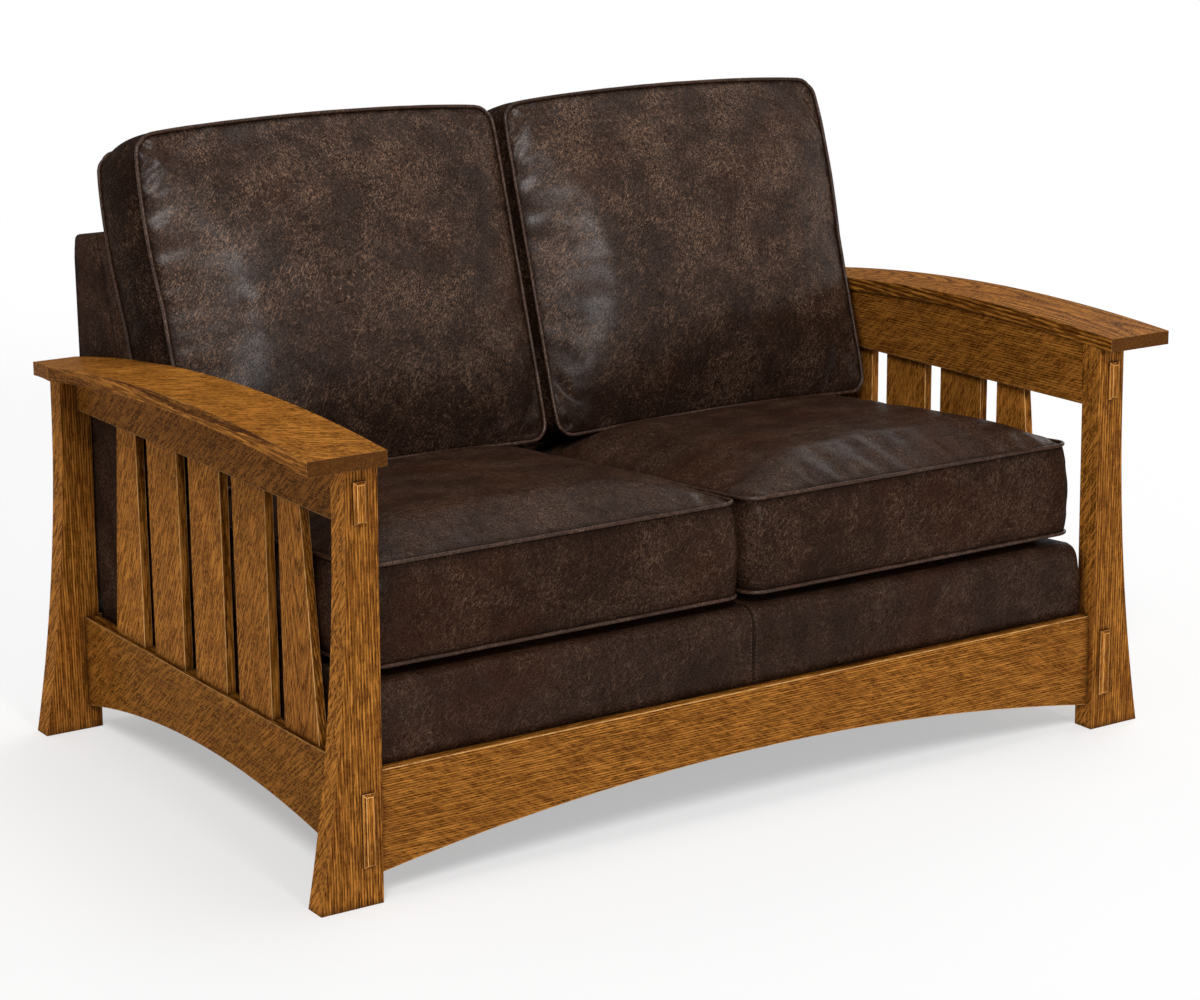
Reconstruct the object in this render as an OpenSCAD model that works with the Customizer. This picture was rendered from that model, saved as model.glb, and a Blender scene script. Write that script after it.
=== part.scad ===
// A two-seat loveseat: an oak frame with bowed arms, flared legs, slatted sides and arched aprons,
// carrying a sprung leather deck and back with four loose box cushions.
// Millimetres. X runs along the seat, Y from front to rear, Z up. The origin is on the floor at the
// middle of the overall width and depth.

/* [Frame] */
// Clear width between the arms
clear_w = 1264; // [1180:1:1900]
// Depth over the legs, front face to rear face
frame_d = 953; // [900:1:1050]
// Thickness of the leg boards, front to rear
leg_t = 37; // [30:1:45]
// Width of a leg above its flare
leg_w = 50; // [44:1:60]
// Width of a leg at the floor
foot_w = 96; // [80:1:120]
// Height at which the leg's outer edge starts to flare
flare_z = 520; // [380:1:540]
// How far the inner edge of a leg runs outwards between arm and floor
leg_lean = 8; // [2:0.5:14]
// Thickness of the side rails
rail_t = 23; // [19:0.5:26]
// Height of the top of the lower rails and aprons
rail_top_z = 185; // [170:1:200]
// Height of the ends of every arch
arch_foot_z = 38; // [25:1:60]
// Height of the middle of the front and rear arch
apron_arch_z = 92; // [70:1:100]
// Height of the middle of the side arches
side_arch_z = 86; // [70:1:92]
// Thickness of the aprons
apron_t = 22; // [18:0.5:26]
// Distance of the aprons behind the face of the legs
apron_setback = 11; // [4:0.5:14]
// Height of the lower edge of the upper side rails
upper_rail_z = 521; // [480:1:540]

/* [Arms] */
// Height of the crest of the arms
arm_top_z = 649; // [610:1:690]
// Radius of the bow along the arms
arm_bow_r = 3880; // [2500:10:8000]
// Distance of the crest behind the front end of the arm
arm_crest = 341; // [250:1:500]
// Width of the arms
arm_w = 118; // [95:1:150]
// Thickness of the arms
arm_t = 21; // [18:0.5:28]
// Overhang of the arms in front of the legs
arm_front = 27; // [10:1:45]
// Overhang of the arms behind the legs
arm_rear = 14; // [5:1:30]
// Length of the cut at the outer rear corner
arm_cut_len = 170; // [80:1:220]
// Width of the cut at the outer rear corner
arm_cut_w = 46; // [20:1:50]

/* [Slats] */
// Slats on each side
slat_count = 5; // [3:1:5]
// Distance between the slats' middles
slat_pitch = 140.5; // [125:0.5:150]
// Width of the slats
slat_w = 102; // [60:1:110]
// Width of the end slats at the top
slat_end_w = 66; // [40:1:100]
// Thickness of the slats
slat_t = 14; // [10:0.5:16]
// Length of the tongue at each end of a slat
slat_tongue = 10; // [6:0.5:14]

/* [Joinery] */
// Width of the through-tenon ends
tenon_w = 19; // [14:0.5:24]
// How far the tenon ends stand out of the legs
tenon_proud = 8; // [4:0.5:12]
// Bevel around the tenon ends
tenon_bevel = 4; // [2:0.5:5]
// Depth of the tenon ends inside the legs
tenon_in = 15; // [8:0.5:20]
// Distance of the tenon's middle from the leg's inner edge at the top
tenon_in_x = 29; // [22:0.5:32]
// Height of the foot of the lower tenon
low_tenon_z = 56; // [40:1:70]
// Length of the lower tenon
low_tenon_h = 105; // [80:1:115]
// Height of the foot of the upper tenon
high_tenon_z = 533; // [500:1:545]
// Length of the upper tenon
high_tenon_h = 58; // [40:1:62]
// Diameter of the dowels under the arms
dowel_d = 10; // [8:0.5:12]
// Length of the dowels
dowel_l = 36; // [28:1:44]
// Depth of the dowels in the arms
dowel_up = 12; // [8:0.5:14]
// Width of the cleats, from the rail inwards
cleat_w = 33; // [26:1:40]
// Height of the cleats
cleat_h = 18; // [14:1:22]
// Diameter of the screws through the cleats
screw_d = 6; // [4:0.5:8]
// Depth of the screws above the cleats
screw_up = 32; // [20:1:50]

/* [Seat deck] */
// Slope of the deck down to the rear, in degrees
deck_pitch = 4; // [2:0.5:7]
// Height of the deck's top under the front of the cushions
deck_z = 300; // [280:1:330]
// Distance of the leather front band behind the face of the legs
band_setback = 28; // [24:0.5:31]
// Radius of the deck's front top edge
deck_round = 28; // [15:1:40]
// Thickness of the deck and back leather
hide_t = 2; // [1.5:0.1:3]
// Thickness of the deck pad
deck_pad_t = 24; // [15:1:35]
// Thickness of the burlap sheet and of the dust cover
sheet_t = 1; // [0.8:0.1:2]
// Side of the spring wire
wire_t = 4; // [3:0.1:5]
// Thickness of the boards of the seat frame and back frame
board_t = 23; // [18:0.5:26]
// Width of a sinuous spring
spring_w = 46; // [36:1:60]
// Distance between the bars of a sinuous spring
spring_pitch = 52; // [24:1:60]
// Seat springs
seat_springs = 8; // [4:1:10]
// Back springs
back_springs = 6; // [4:1:8]

/* [Seat cushions] */
// Distance of the seat cushions behind the face of the legs
cushion_setback = 40; // [36:1:60]
// Depth of the seat cushions
seat_d = 628; // [590:1:650]
// Height of the seat cushions from welt to welt
seat_h = 141; // [110:1:150]
// Rise of the seat cushions above the upper welt
seat_crown = 40; // [20:1:42]
// Gap between deck and lower welt that the cushion's underside fills
seat_sag = 16; // [12:1:24]
// How far the rear upper welt is pressed down by the back cushions
seat_press = 9; // [4:1:16]
// Gap between the two seat cushions
seat_gap = 8; // [4:1:20]

/* [Back cushions] */
// Recline of the back, in degrees from upright
recline = 17.2; // [12:0.1:22]
// Height of the foot of the back cushions
back_foot_z = 450; // [440:1:470]
// Height of the back cushions from welt to welt, along the recline
back_h = 540; // [480:1:600]
// Thickness of the back cushions from welt to welt
back_t = 146; // [120:1:160]
// Bulge of the back cushions in front of the front welt
back_crown = 44; // [20:1:60]
// Bulge of the back cushions behind the rear welt
back_sag = 9; // [6:0.5:20]
// Gap between the two back cushions
back_gap = 14; // [6:1:30]
// Gap beside the cushions, to the arms and to the upper side rails
side_gap = 1.5; // [1:0.5:10]
// Bow of the upper welts of the back cushions
back_bow = 11; // [0:1:25]
// Bow of the outer sides of the back cushions above the arms
side_bow = 12; // [0:1:20]
// Bow of the lower welts of the back cushions over the crowned seat
foot_bow = 9; // [0:1:18]
// Radius of the welts
welt_r = 3; // [2:0.25:4]
// Thickness of a cushion cover with its lining
cover_t = 2; // [1.5:0.1:4]

/* [Back frame] */
// Height of the top of the back frame
back_top_z = 788; // [740:1:860]
// Slope of the top of the back frame up to the front, in degrees
back_top_slope = 9; // [0:1:15]
// How far the back leather stands out behind the legs
back_proud = 2; // [0:0.5:4]
// Radius of the back frame's front top edge
back_round = 22; // [10:1:40]
// Thickness of the padding on the back frame
back_pad_t = 22; // [12:1:35]

/* [Hidden] */

oak = [0.55, 0.36, 0.16];
dark_oak = [0.46, 0.29, 0.13];
hide = [0.17, 0.12, 0.10];
raw_wood = [0.78, 0.66, 0.47];
steel = [0.55, 0.56, 0.58];
jute = [0.68, 0.57, 0.38];
foam = [0.90, 0.86, 0.70];
cambric = [0.10, 0.10, 0.11];

LEFT = -1;
RIGHT = 1;
// Play of a tongue, dowel or screw in its hole
play = 0.2;
// Gap between two soft pieces that lie on each other
soft_gap = 0.3;
// Gap between the hide and the padding under it
skin_gap = 0.1;
// Length by which a cutter runs past the face it cuts
past = 5;
// Facets of the long arcs of the frame
arc_fn = 720;
// Sides of the dowels and screws, and of their holes
round_fn = 12;

arm_in_x = clear_w / 2;
arm_len = arm_front + frame_d + arm_rear;
front_y = arm_front - arm_len / 2;
rear_y = front_y + frame_d;
inner_d = frame_d - 2 * leg_t;
arm_axis_y = arm_crest - arm_len / 2;
arm_axis_z = arm_top_z - arm_bow_r;
under_arm_r = arm_bow_r - arm_t;
leg_top_x = arm_in_x + 0.5;
leg_foot_x = leg_top_x + leg_lean;
arm_span_z = arm_top_z - arm_t;
// The rails' inner face is flush with the legs' inner edge at the height of each rail
upper_in_x = leg_edge_x(upper_rail_z) + 1;
lower_in_x = leg_edge_x(rail_top_z) + 1;
slat_mid_x = (lower_in_x + upper_in_x + rail_t) / 2;
mid_y = (front_y + rear_y) / 2;

// Place of the legs' inner edge at a height
function leg_edge_x(z) = leg_foot_x - leg_lean * z / arm_span_z;
// Height of the arms' underside at a place along the arm
function under_arm_z(y) = arm_axis_z + sqrt(pow(under_arm_r, 2) - pow(y - arm_axis_y, 2));
// Radius of the arch through two feet a span apart with a rise between them
function arch_r(span, rise) = (pow(span / 2, 2) + pow(rise, 2)) / (2 * rise);

// Points of an arc around a hub, from one angle to another
arc_steps = 8;
function arc(hub, r, from, to) =
    [for (i = [0:arc_steps]) let (a = from + (to - from) * i / arc_steps) hub + r * [cos(a), sin(a)]];

// Solid round bar along X, for the arcs that are seen from the side
module side_round(r, y, z, x0, x1)
    translate([x0, y, z]) rotate([0, 90, 0]) cylinder(r = r, h = x1 - x0, $fn = arc_fn);

// Everything under the arms' underside
module below_arms() {
    past_arms = arm_in_x + 2 * arm_w;
    side_round(under_arm_r, arm_axis_y, arm_axis_z, -past_arms, past_arms);
}

// Solid with a side outline, from one X to another
module from_side(x0, x1) translate([x0, 0, 0]) rotate([90, 0, 90]) linear_extrude(x1 - x0) children();

// Solid with a front outline, from one Y to another
module from_front(y0, y1) translate([0, y1, 0]) rotate([90, 0, 0]) linear_extrude(y1 - y0) children();

module on_side(side) mirror([side == LEFT ? 1 : 0, 0, 0]) children();

/* Legs */
// The flare is a round cut, tangent to the straight upper part of the leg's outer edge
module leg_outline() {
    lean = leg_lean / arm_span_z;
    neck = [leg_edge_x(flare_z) + leg_w, flare_z];
    drop = [leg_foot_x + foot_w - neck[0], -flare_z];
    away = [1, lean] / norm([1, lean]);
    r = (drop * drop) / (2 * (drop * away));
    difference() {
        polygon([
            [leg_foot_x, 0],
            [leg_foot_x + foot_w, 0],
            neck,
            [leg_edge_x(arm_top_z) + leg_w, arm_top_z],
            [leg_edge_x(arm_top_z), arm_top_z]
        ]);
        translate(neck + r * away) circle(r, $fn = arc_fn);
    }
}

tenon_x = leg_top_x + tenon_in_x;
tenon_spans = [[low_tenon_z, low_tenon_h], [high_tenon_z, high_tenon_h]];

module leg(side, y0) on_side(side) color(oak) difference() {
    intersection() {
        from_front(y0, y0 + leg_t) leg_outline();
        below_arms();
    }
    if (y0 == front_y) for (span = tenon_spans)
        translate([tenon_x - tenon_w / 2 - play, y0 - past, span[0] - play])
            cube([tenon_w + 2 * play, tenon_in + past, span[1] + 2 * play]);
    dowel(leg_dowel_x, y0 + leg_t / 2, play);
}

// The end of a through-tenon: a block with its four outer edges bevelled
module tenon_end(z, h) {
    y0 = front_y - tenon_proud;
    y1 = front_y + tenon_in;
    intersection() {
        translate([tenon_x - tenon_w / 2, 0, 0]) rotate([90, 0, 90]) linear_extrude(tenon_w) polygon([
            [y1, z], [y0 + tenon_bevel, z], [y0, z + tenon_bevel],
            [y0, z + h - tenon_bevel], [y0 + tenon_bevel, z + h], [y1, z + h]
        ]);
        translate([tenon_x, 0, z]) linear_extrude(h) polygon([
            [-tenon_w / 2, y1], [-tenon_w / 2, y0 + tenon_bevel], [tenon_bevel - tenon_w / 2, y0],
            [tenon_w / 2 - tenon_bevel, y0], [tenon_w / 2, y0 + tenon_bevel], [tenon_w / 2, y1]
        ]);
    }
}

module tenon_ends() color(dark_oak) for (side = [LEFT, RIGHT]) on_side(side)
    for (span = tenon_spans) tenon_end(span[0], span[1]);

/* Arms and side rails */
leg_dowel_x = leg_top_x + leg_w / 2;
rail_dowel_x = upper_in_x + rail_t / 2;
rail_dowel_ys = [mid_y - inner_d / 4, mid_y + inner_d / 4];

// A dowel standing across the joint under an arm, with clearance around it when it is a hole
module dowel(x, y, gap)
    translate([x, y, under_arm_z(y) + dowel_up - dowel_l - gap])
        cylinder(d = dowel_d + 2 * gap, h = dowel_l + 2 * gap, $fn = round_fn);

module each_dowel(gap) {
    for (y = [front_y + leg_t / 2, rear_y - leg_t / 2]) dowel(leg_dowel_x, y, gap);
    for (y = rail_dowel_ys) dowel(rail_dowel_x, y, gap);
}

module arm_dowels() color(raw_wood) for (side = [LEFT, RIGHT]) on_side(side) each_dowel(0);

module arm(side) on_side(side) color(oak) difference() {
    intersection() {
        linear_extrude(2 * arm_top_z) polygon([
            [arm_in_x, -arm_len / 2],
            [arm_in_x + arm_w, -arm_len / 2],
            [arm_in_x + arm_w, arm_len / 2 - arm_cut_len],
            [arm_in_x + arm_w - arm_cut_w, arm_len / 2],
            [arm_in_x, arm_len / 2]
        ]);
        side_round(arm_bow_r, arm_axis_y, arm_axis_z, 0, arm_in_x + 2 * arm_w);
    }
    below_arms();
    each_dowel(play);
}

module upper_rail(side) on_side(side) color(dark_oak) difference() {
    intersection() {
        translate([upper_in_x, front_y + leg_t, upper_rail_z]) cube([rail_t, inner_d, arm_top_z]);
        below_arms();
    }
    for (i = [1:slat_count]) slat(i, play);
    for (y = rail_dowel_ys) dowel(rail_dowel_x, y, play);
}

module lower_rail(side) on_side(side) color(dark_oak) difference() {
    translate([lower_in_x, front_y + leg_t, arch_foot_z]) cube([rail_t, inner_d, rail_top_z - arch_foot_z]);
    arch = arch_r(inner_d, side_arch_z - arch_foot_z);
    side_round(arch, mid_y, side_arch_z - arch, 0, arm_in_x + 2 * arm_w);
    for (i = [1:slat_count]) slat(i, play);
}

/* Slats */
// Slat 1 is at the front. The end slats narrow upwards on the side that faces the leg.
module slat(i, gap) {
    place = i - (slat_count + 1) / 2;
    y0 = mid_y + place * slat_pitch - slat_w / 2 - gap;
    y1 = y0 + slat_w + 2 * gap;
    slim = slat_w - slat_end_w;
    top = upper_rail_z + slat_tongue + gap;
    foot = rail_top_z - slat_tongue - gap;
    from_side(slat_mid_x - slat_t / 2 - gap, slat_mid_x + slat_t / 2 + gap) polygon([
        [y0, foot], [y1, foot],
        [y1, rail_top_z],
        [i == slat_count ? y1 - slim : y1, upper_rail_z], [i == slat_count ? y1 - slim : y1, top],
        [i == 1 ? y0 + slim : y0, top], [i == 1 ? y0 + slim : y0, upper_rail_z],
        [y0, rail_top_z]
    ]);
}

module side_slat(side, i) if (i <= slat_count) on_side(side) color(oak) slat(i, 0);

/* Aprons */
module apron(y0) color(oak) from_front(y0, y0 + apron_t) difference() {
    polygon([
        [-leg_edge_x(arch_foot_z), arch_foot_z], [leg_edge_x(arch_foot_z), arch_foot_z],
        [leg_edge_x(rail_top_z), rail_top_z], [-leg_edge_x(rail_top_z), rail_top_z]
    ]);
    arch = arch_r(2 * leg_edge_x(arch_foot_z), apron_arch_z - arch_foot_z);
    translate([0, apron_arch_z - arch]) circle(arch, $fn = arc_fn);
}

front_apron_y = front_y + apron_setback;
rear_apron_y = rear_y - apron_setback - apron_t;
module front_apron() apron(front_apron_y);
module rear_apron() apron(rear_apron_y);

/* Deck and back planes */
// The deck's top is a sloping plane. Offsets are measured square to it, downwards.
deck_y = front_y + cushion_setback;
deck_level = deck_y * sin(deck_pitch) + deck_z * cos(deck_pitch);
function deck_height(y, off) = (deck_level - off - y * sin(deck_pitch)) / cos(deck_pitch);
// The back's front is a reclined plane, which meets the deck just behind the seat cushions. Offsets
// are measured square to it, rearwards.
seat_rear_gap = 0.7;
back_foot = [deck_y, deck_z] + (seat_d + seat_rear_gap) * [cos(deck_pitch), -sin(deck_pitch)];
back_level = back_foot * [cos(recline), -sin(recline)];
function back_depth(z, off) = (back_level + off + z * sin(recline)) / cos(recline);
// The back cushions' front welts lie in a parallel plane in front of it
back_set = back_t + back_sag + soft_gap;
back_y = back_depth(back_foot_z, -back_set);
// Where a deck plane meets a back plane, as a side point
function corner(deck_off, back_off) =
    [
        (deck_level - deck_off) * sin(recline) + (back_level + back_off) * cos(deck_pitch),
        (deck_level - deck_off) * cos(recline) - (back_level + back_off) * sin(deck_pitch)
    ] / cos(recline - deck_pitch);

// Children drawn along the deck: Y along the slope to the rear, Z square to the deck
module on_deck() translate([0, deck_y, deck_z]) rotate([-deck_pitch, 0, 0]) children();
// Children drawn along the back: Z up the recline, Y square to it from the cushions' front welt
module on_back() translate([0, back_y, back_foot_z]) rotate([-recline, 0, 0]) children();

unit_x = arm_in_x - 1;
board_x = unit_x - hide_t;
cleat_top_z = apron_arch_z + cleat_h + past;
frame_off = hide_t + deck_pad_t + sheet_t + wire_t;
band_y = front_y + band_setback;
seat_rail_y = front_apron_y + apron_t;
rear_rail_y = corner(frame_off, 0)[0] - 1.5 * board_t;
post_off = hide_t + back_pad_t;
rear_skin_y = rear_y + back_proud;

// Side outline of the deck, inset on its front and top, from a lower edge up
module deck_outline(inset, foot_z, back_off) {
    hub = [band_y + deck_round, deck_height(band_y + deck_round, deck_round)];
    polygon(concat(
        [[band_y + inset, foot_z]],
        arc(hub, deck_round - inset, 180, 90 - deck_pitch),
        [corner(inset, back_off), [back_depth(foot_z, back_off), foot_z]]
    ));
}

/* Seat frame */
cleat_end = 20;
cleat_front_y = front_y + leg_t + cleat_end;
cleat_len = inner_d - 2 * cleat_end;
screw_count = 3;
function shared(n, from, to) = [for (i = [0:n - 1]) from + (to - from) * (i + 0.5) / n];
screw_ys = shared(screw_count, seat_rail_y + board_t, back_depth(cleat_top_z, post_off));

module cleat_screw(side, y, gap) on_side(side) {
    x = board_x - board_t / 2;
    translate([x, y, cleat_top_z - cleat_h - gap])
        cylinder(d = screw_d + 2 * gap, h = cleat_h + screw_up + 2 * gap, $fn = round_fn);
}

module cleats() color(raw_wood) for (side = [LEFT, RIGHT]) difference() {
    on_side(side) translate([lower_in_x - cleat_w, cleat_front_y, cleat_top_z - cleat_h])
        cube([cleat_w, cleat_len, cleat_h]);
    for (y = screw_ys) cleat_screw(side, y, play);
}

module cleat_screws() color(steel) for (side = [LEFT, RIGHT]) for (y = screw_ys) {
    cleat_screw(side, y, 0);
    on_side(side) translate([board_x - board_t / 2, y, cleat_top_z - cleat_h - screw_d / 2])
        cylinder(d = 2 * screw_d, h = screw_d / 2, $fn = round_fn);
}

// Boards that run under the deck's sloping plane
module under_deck(off) intersection() {
    children();
    from_side(-clear_w, clear_w) polygon([
        [-frame_d, -past], [frame_d, -past],
        [frame_d, deck_height(frame_d, off)], [-frame_d, deck_height(-frame_d, off)]
    ]);
}

cross_x = board_x - board_t;
module seat_front_rail() color(raw_wood) under_deck(frame_off)
    translate([-board_x, seat_rail_y, cleat_top_z]) cube([2 * board_x, board_t, deck_z]);

module seat_rear_rail() color(raw_wood) under_deck(frame_off)
    translate([-cross_x, rear_rail_y, cleat_top_z]) cube([2 * cross_x, board_t, deck_z]);

module seat_side_rail(side) color(raw_wood) difference() {
    y0 = seat_rail_y + board_t;
    on_side(side) from_side(cross_x, board_x) polygon([
        [y0, cleat_top_z],
        [back_depth(cleat_top_z, post_off), cleat_top_z],
        corner(frame_off, post_off),
        [y0, deck_height(y0, frame_off)]
    ]);
    for (y = screw_ys) cleat_screw(side, y, play);
}

/* Springs */
// A sinuous spring lies flat along +Y: bars across it joined by bends at alternate sides
function wave(bars, pitch, w) = [
    for (i = [0:bars - 1])
        let (s = i % 2 == 0 ? 1 : -1, y = i * pitch, c = w / 5)
            each i == bars - 1
                ? [[-s * (w / 2 - c), y], [s * (w / 2), y]]
                : [[-s * (i == 0 ? w / 2 : w / 2 - c), y], [s * (w / 2 - c), y],
                   [s * w / 2, y + c], [s * w / 2, y + pitch - c]]
];
function unit(v) = v / norm(v);
function side_of(a, b) = let (d = unit(b - a)) [-d[1], d[0]];
// The line a fixed distance to one side of a path, mitred at its corners
function beside(path, off) = [
    for (i = [0:len(path) - 1])
        let (
            last = len(path) - 1,
            before = side_of(path[max(i - 1, 0)], path[max(i, 1)]),
            after = side_of(path[min(i, last - 1)], path[min(i + 1, last)])
        ) path[i] + off * (before + after) / (1 + before * after)
];
module sinuous(length) {
    bars = floor((length - wire_t) / spring_pitch) + 1;
    pitch = (length - wire_t) / (bars - 1);
    path = wave(bars, pitch, spring_w - wire_t);
    near = beside(path, wire_t / 2);
    far = beside(path, -wire_t / 2);
    translate([0, wire_t / 2, 0]) linear_extrude(wire_t)
        polygon(concat(near, [for (i = [len(far) - 1:-1:0]) far[i]]));
}

// A clip is a strap over the end bar of a spring, with a foot on the board at each side of the bar
clip_w = 12;
clip_t = 1.5;
clip_reach = board_t / 2 - 1;
module clip() translate([-clip_w / 2, 0, 0]) rotate([90, 0, 90]) linear_extrude(clip_w) difference() {
    translate([-clip_reach, 0]) square([2 * clip_reach, wire_t + clip_t + soft_gap]);
    translate([-wire_t / 2 - play, -past]) square([wire_t + 2 * play, past + wire_t + soft_gap]);
    for (s = [0, 1]) mirror([s, 0]) translate([wire_t, clip_t]) square([clip_reach, 2 * wire_t]);
}

// Distance of a point along the slope of the deck
function along_deck(y, off) = (y - deck_y + off * sin(deck_pitch)) / cos(deck_pitch);
spring_front = along_deck(seat_rail_y + board_t / 2, frame_off);
spring_rear = along_deck(rear_rail_y + board_t / 2, frame_off);

// Which side of the middle a piece at an X belongs to
function side_at(x) = x < 0 ? LEFT : RIGHT;

module seat_springs_set() color(steel) on_deck() for (x = shared(seat_springs, -cross_x, cross_x))
    translate([x, spring_front - wire_t / 2, -frame_off])
        on_side(side_at(x)) sinuous(spring_rear - spring_front + wire_t);

// Level of the back frame's sloping top, measured square to it
function back_top_level(inset) = rear_skin_y * sin(back_top_slope) + back_top_z * cos(back_top_slope) - inset;
// Where the top plane meets the front plane, before the edge is rounded
function back_sharp(inset) =
    [
        back_top_level(inset) * sin(recline) + (back_level + inset) * cos(back_top_slope),
        back_top_level(inset) * cos(recline) - (back_level + inset) * sin(back_top_slope)
    ] / cos(recline - back_top_slope);
function back_radius(inset) = back_round - inset / 2;
// Height of a side point along the recline
function up_back(p) = (p[0] - back_y) * sin(recline) + (p[1] - back_foot_z) * cos(recline);

// The back springs stand between the bottom rail and the top rail of the back
back_rail_h = 60;
back_rail_low = 70;
back_wire_set = back_set + post_off + clip_t + 2 * soft_gap;
back_rail_set = back_wire_set + wire_t;
back_low = up_back(corner(0, 0)) + back_rail_low;
back_high = up_back(back_sharp(post_off)) - back_radius(post_off);
module back_springs_set() color(steel) on_back() for (x = shared(back_springs, -cross_x, cross_x))
    translate([x, back_wire_set, back_low + back_rail_h / 2 - wire_t / 2]) rotate([90, 0, 0])
        mirror([0, 0, 1]) on_side(side_at(x)) sinuous(back_high - back_low - back_rail_h + wire_t);

module spring_clips() color(steel) {
    on_deck() for (x = shared(seat_springs, -cross_x, cross_x), y = [spring_front, spring_rear])
        translate([x, y, -frame_off]) clip();
    back_ends = [back_low + back_rail_h / 2, back_high - back_rail_h / 2];
    on_back() for (x = shared(back_springs, -cross_x, cross_x), z = back_ends)
        translate([x, back_rail_set, z]) rotate([90, 0, 0]) clip();
}

/* Deck upholstery */
sheet_off = frame_off - wire_t - clip_t - 2 * soft_gap;
module burlap_sheet() color(jute) on_deck() {
    y0 = spring_front - clip_reach;
    y1 = spring_rear + clip_reach;
    translate([-cross_x, y0, -sheet_off]) cube([2 * cross_x, y1 - y0, sheet_t]);
}

pad_off = sheet_off - sheet_t - skin_gap;
module deck_pad() color(foam) difference() {
    from_side(-board_x, board_x) deck_outline(hide_t + skin_gap, rail_top_z + soft_gap, -soft_gap);
    // Room for the frame, springs and sheet under the pad
    from_side(-clear_w, clear_w) polygon([
        [seat_rail_y, -past],
        [seat_rail_y, deck_height(seat_rail_y, pad_off)],
        [frame_d, deck_height(frame_d, pad_off)],
        [frame_d, -past]
    ]);
}

module deck_cover() color(hide) difference() {
    from_side(-unit_x, unit_x) deck_outline(0, cleat_top_z + hide_t, -soft_gap);
    from_side(-board_x, board_x) deck_outline(hide_t, 0, frame_d);
    from_side(-clear_w, clear_w) translate([-frame_d, 0])
        square([frame_d + seat_rail_y + soft_gap, rail_top_z + soft_gap]);
}

module dust_cover() color(cambric) {
    x = lower_in_x - cleat_w - soft_gap;
    translate([-x, seat_rail_y, cleat_top_z - sheet_t])
        cube([2 * x, rear_apron_y - soft_gap - seat_rail_y, sheet_t]);
}

/* Back frame */
// Side outline of the back above a lower edge, inset on its front and top, and on its rear
module back_outline(inset, rear_inset, foot_z) {
    slope = back_top_slope;
    rear = rear_skin_y - rear_inset;
    r = back_radius(inset);
    reach = r / tan((90 - slope + recline) / 2);
    hub = back_sharp(inset) - reach * [sin(recline), cos(recline)] + r * [cos(recline), -sin(recline)];
    polygon(concat(
        [[back_depth(foot_z, inset), foot_z]],
        arc(hub, r, 180 - recline, 90 - slope),
        [[rear, (back_top_level(inset) - rear * sin(slope)) / cos(slope)], [rear, foot_z]]
    ));
}

// The rear apron passes through the lower rear corner of the back
module clear_of_rear_apron(gap) difference() {
    children();
    from_side(-clear_w, clear_w) translate([rear_apron_y - gap, -past])
        square([frame_d, rail_top_z + gap + past]);
}

module back_post(side) color(raw_wood) clear_of_rear_apron(0) on_side(side)
    from_side(cross_x, board_x) back_outline(post_off, hide_t, cleat_top_z);

module back_rail(z0) on_back() translate([-cross_x, back_rail_set, z0])
    cube([2 * cross_x, board_t, back_rail_h]);
module back_top_rail() color(raw_wood) back_rail(back_high - back_rail_h);
module back_bottom_rail() color(raw_wood) back_rail(back_low);
module back_base_rail() color(raw_wood) translate([-cross_x, rear_skin_y - hide_t - board_t, rail_top_z])
    cube([2 * cross_x, board_t, back_rail_h]);

tuck_z = corner(0, 0)[1];
module back_padding() color(foam) from_side(-board_x, board_x) difference() {
    back_outline(hide_t + skin_gap, hide_t + skin_gap, tuck_z);
    back_outline(post_off, -past, 0);
}

module back_cover() color(hide) clear_of_rear_apron(soft_gap) difference() {
    from_side(-unit_x, unit_x) back_outline(0, 0, cleat_top_z + hide_t);
    from_side(-board_x, board_x) back_outline(hide_t, hide_t, 0);
    // Between the sides the hide starts at the deck, where it is tucked in
    from_side(-board_x, board_x) square([rear_rail_y + 2 * board_t, tuck_z]);
}

/* Cushion forms */
// Places from -1 to 1, close together near the ends, where a cushion's crown is steep
function places(n) = [for (i = [0:n]) sin(90 * (2 * i / n - 1))];
across = places(10);
along = places(8);
nu = len(across) - 1;
nv = len(along) - 1;
rings = 2;

// Walk around the rim of the grid, as pairs of grid numbers
rim = concat(
    [for (i = [0:nu - 1]) [i, 0]], [for (j = [0:nv - 1]) [nu, j]],
    [for (i = [nu:-1:1]) [i, nv]], [for (j = [nv:-1:1]) [0, j]]
);
rim_n = len(rim);
face_n = (nu + 1) * (nv + 1);
function on_face(i, j) = i * (nv + 1) + j;
// Number of the point at a place on the rim of a ring: 0 is the top face's, the last the bottom face's
function on_rim(ring, k) =
    let (p = rim[k % rim_n])
        ring == 0 ? on_face(p[0], p[1])
        : ring == rings ? face_n + on_face(p[0], p[1])
        : 2 * face_n + (ring - 1) * rim_n + k % rim_n;

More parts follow.
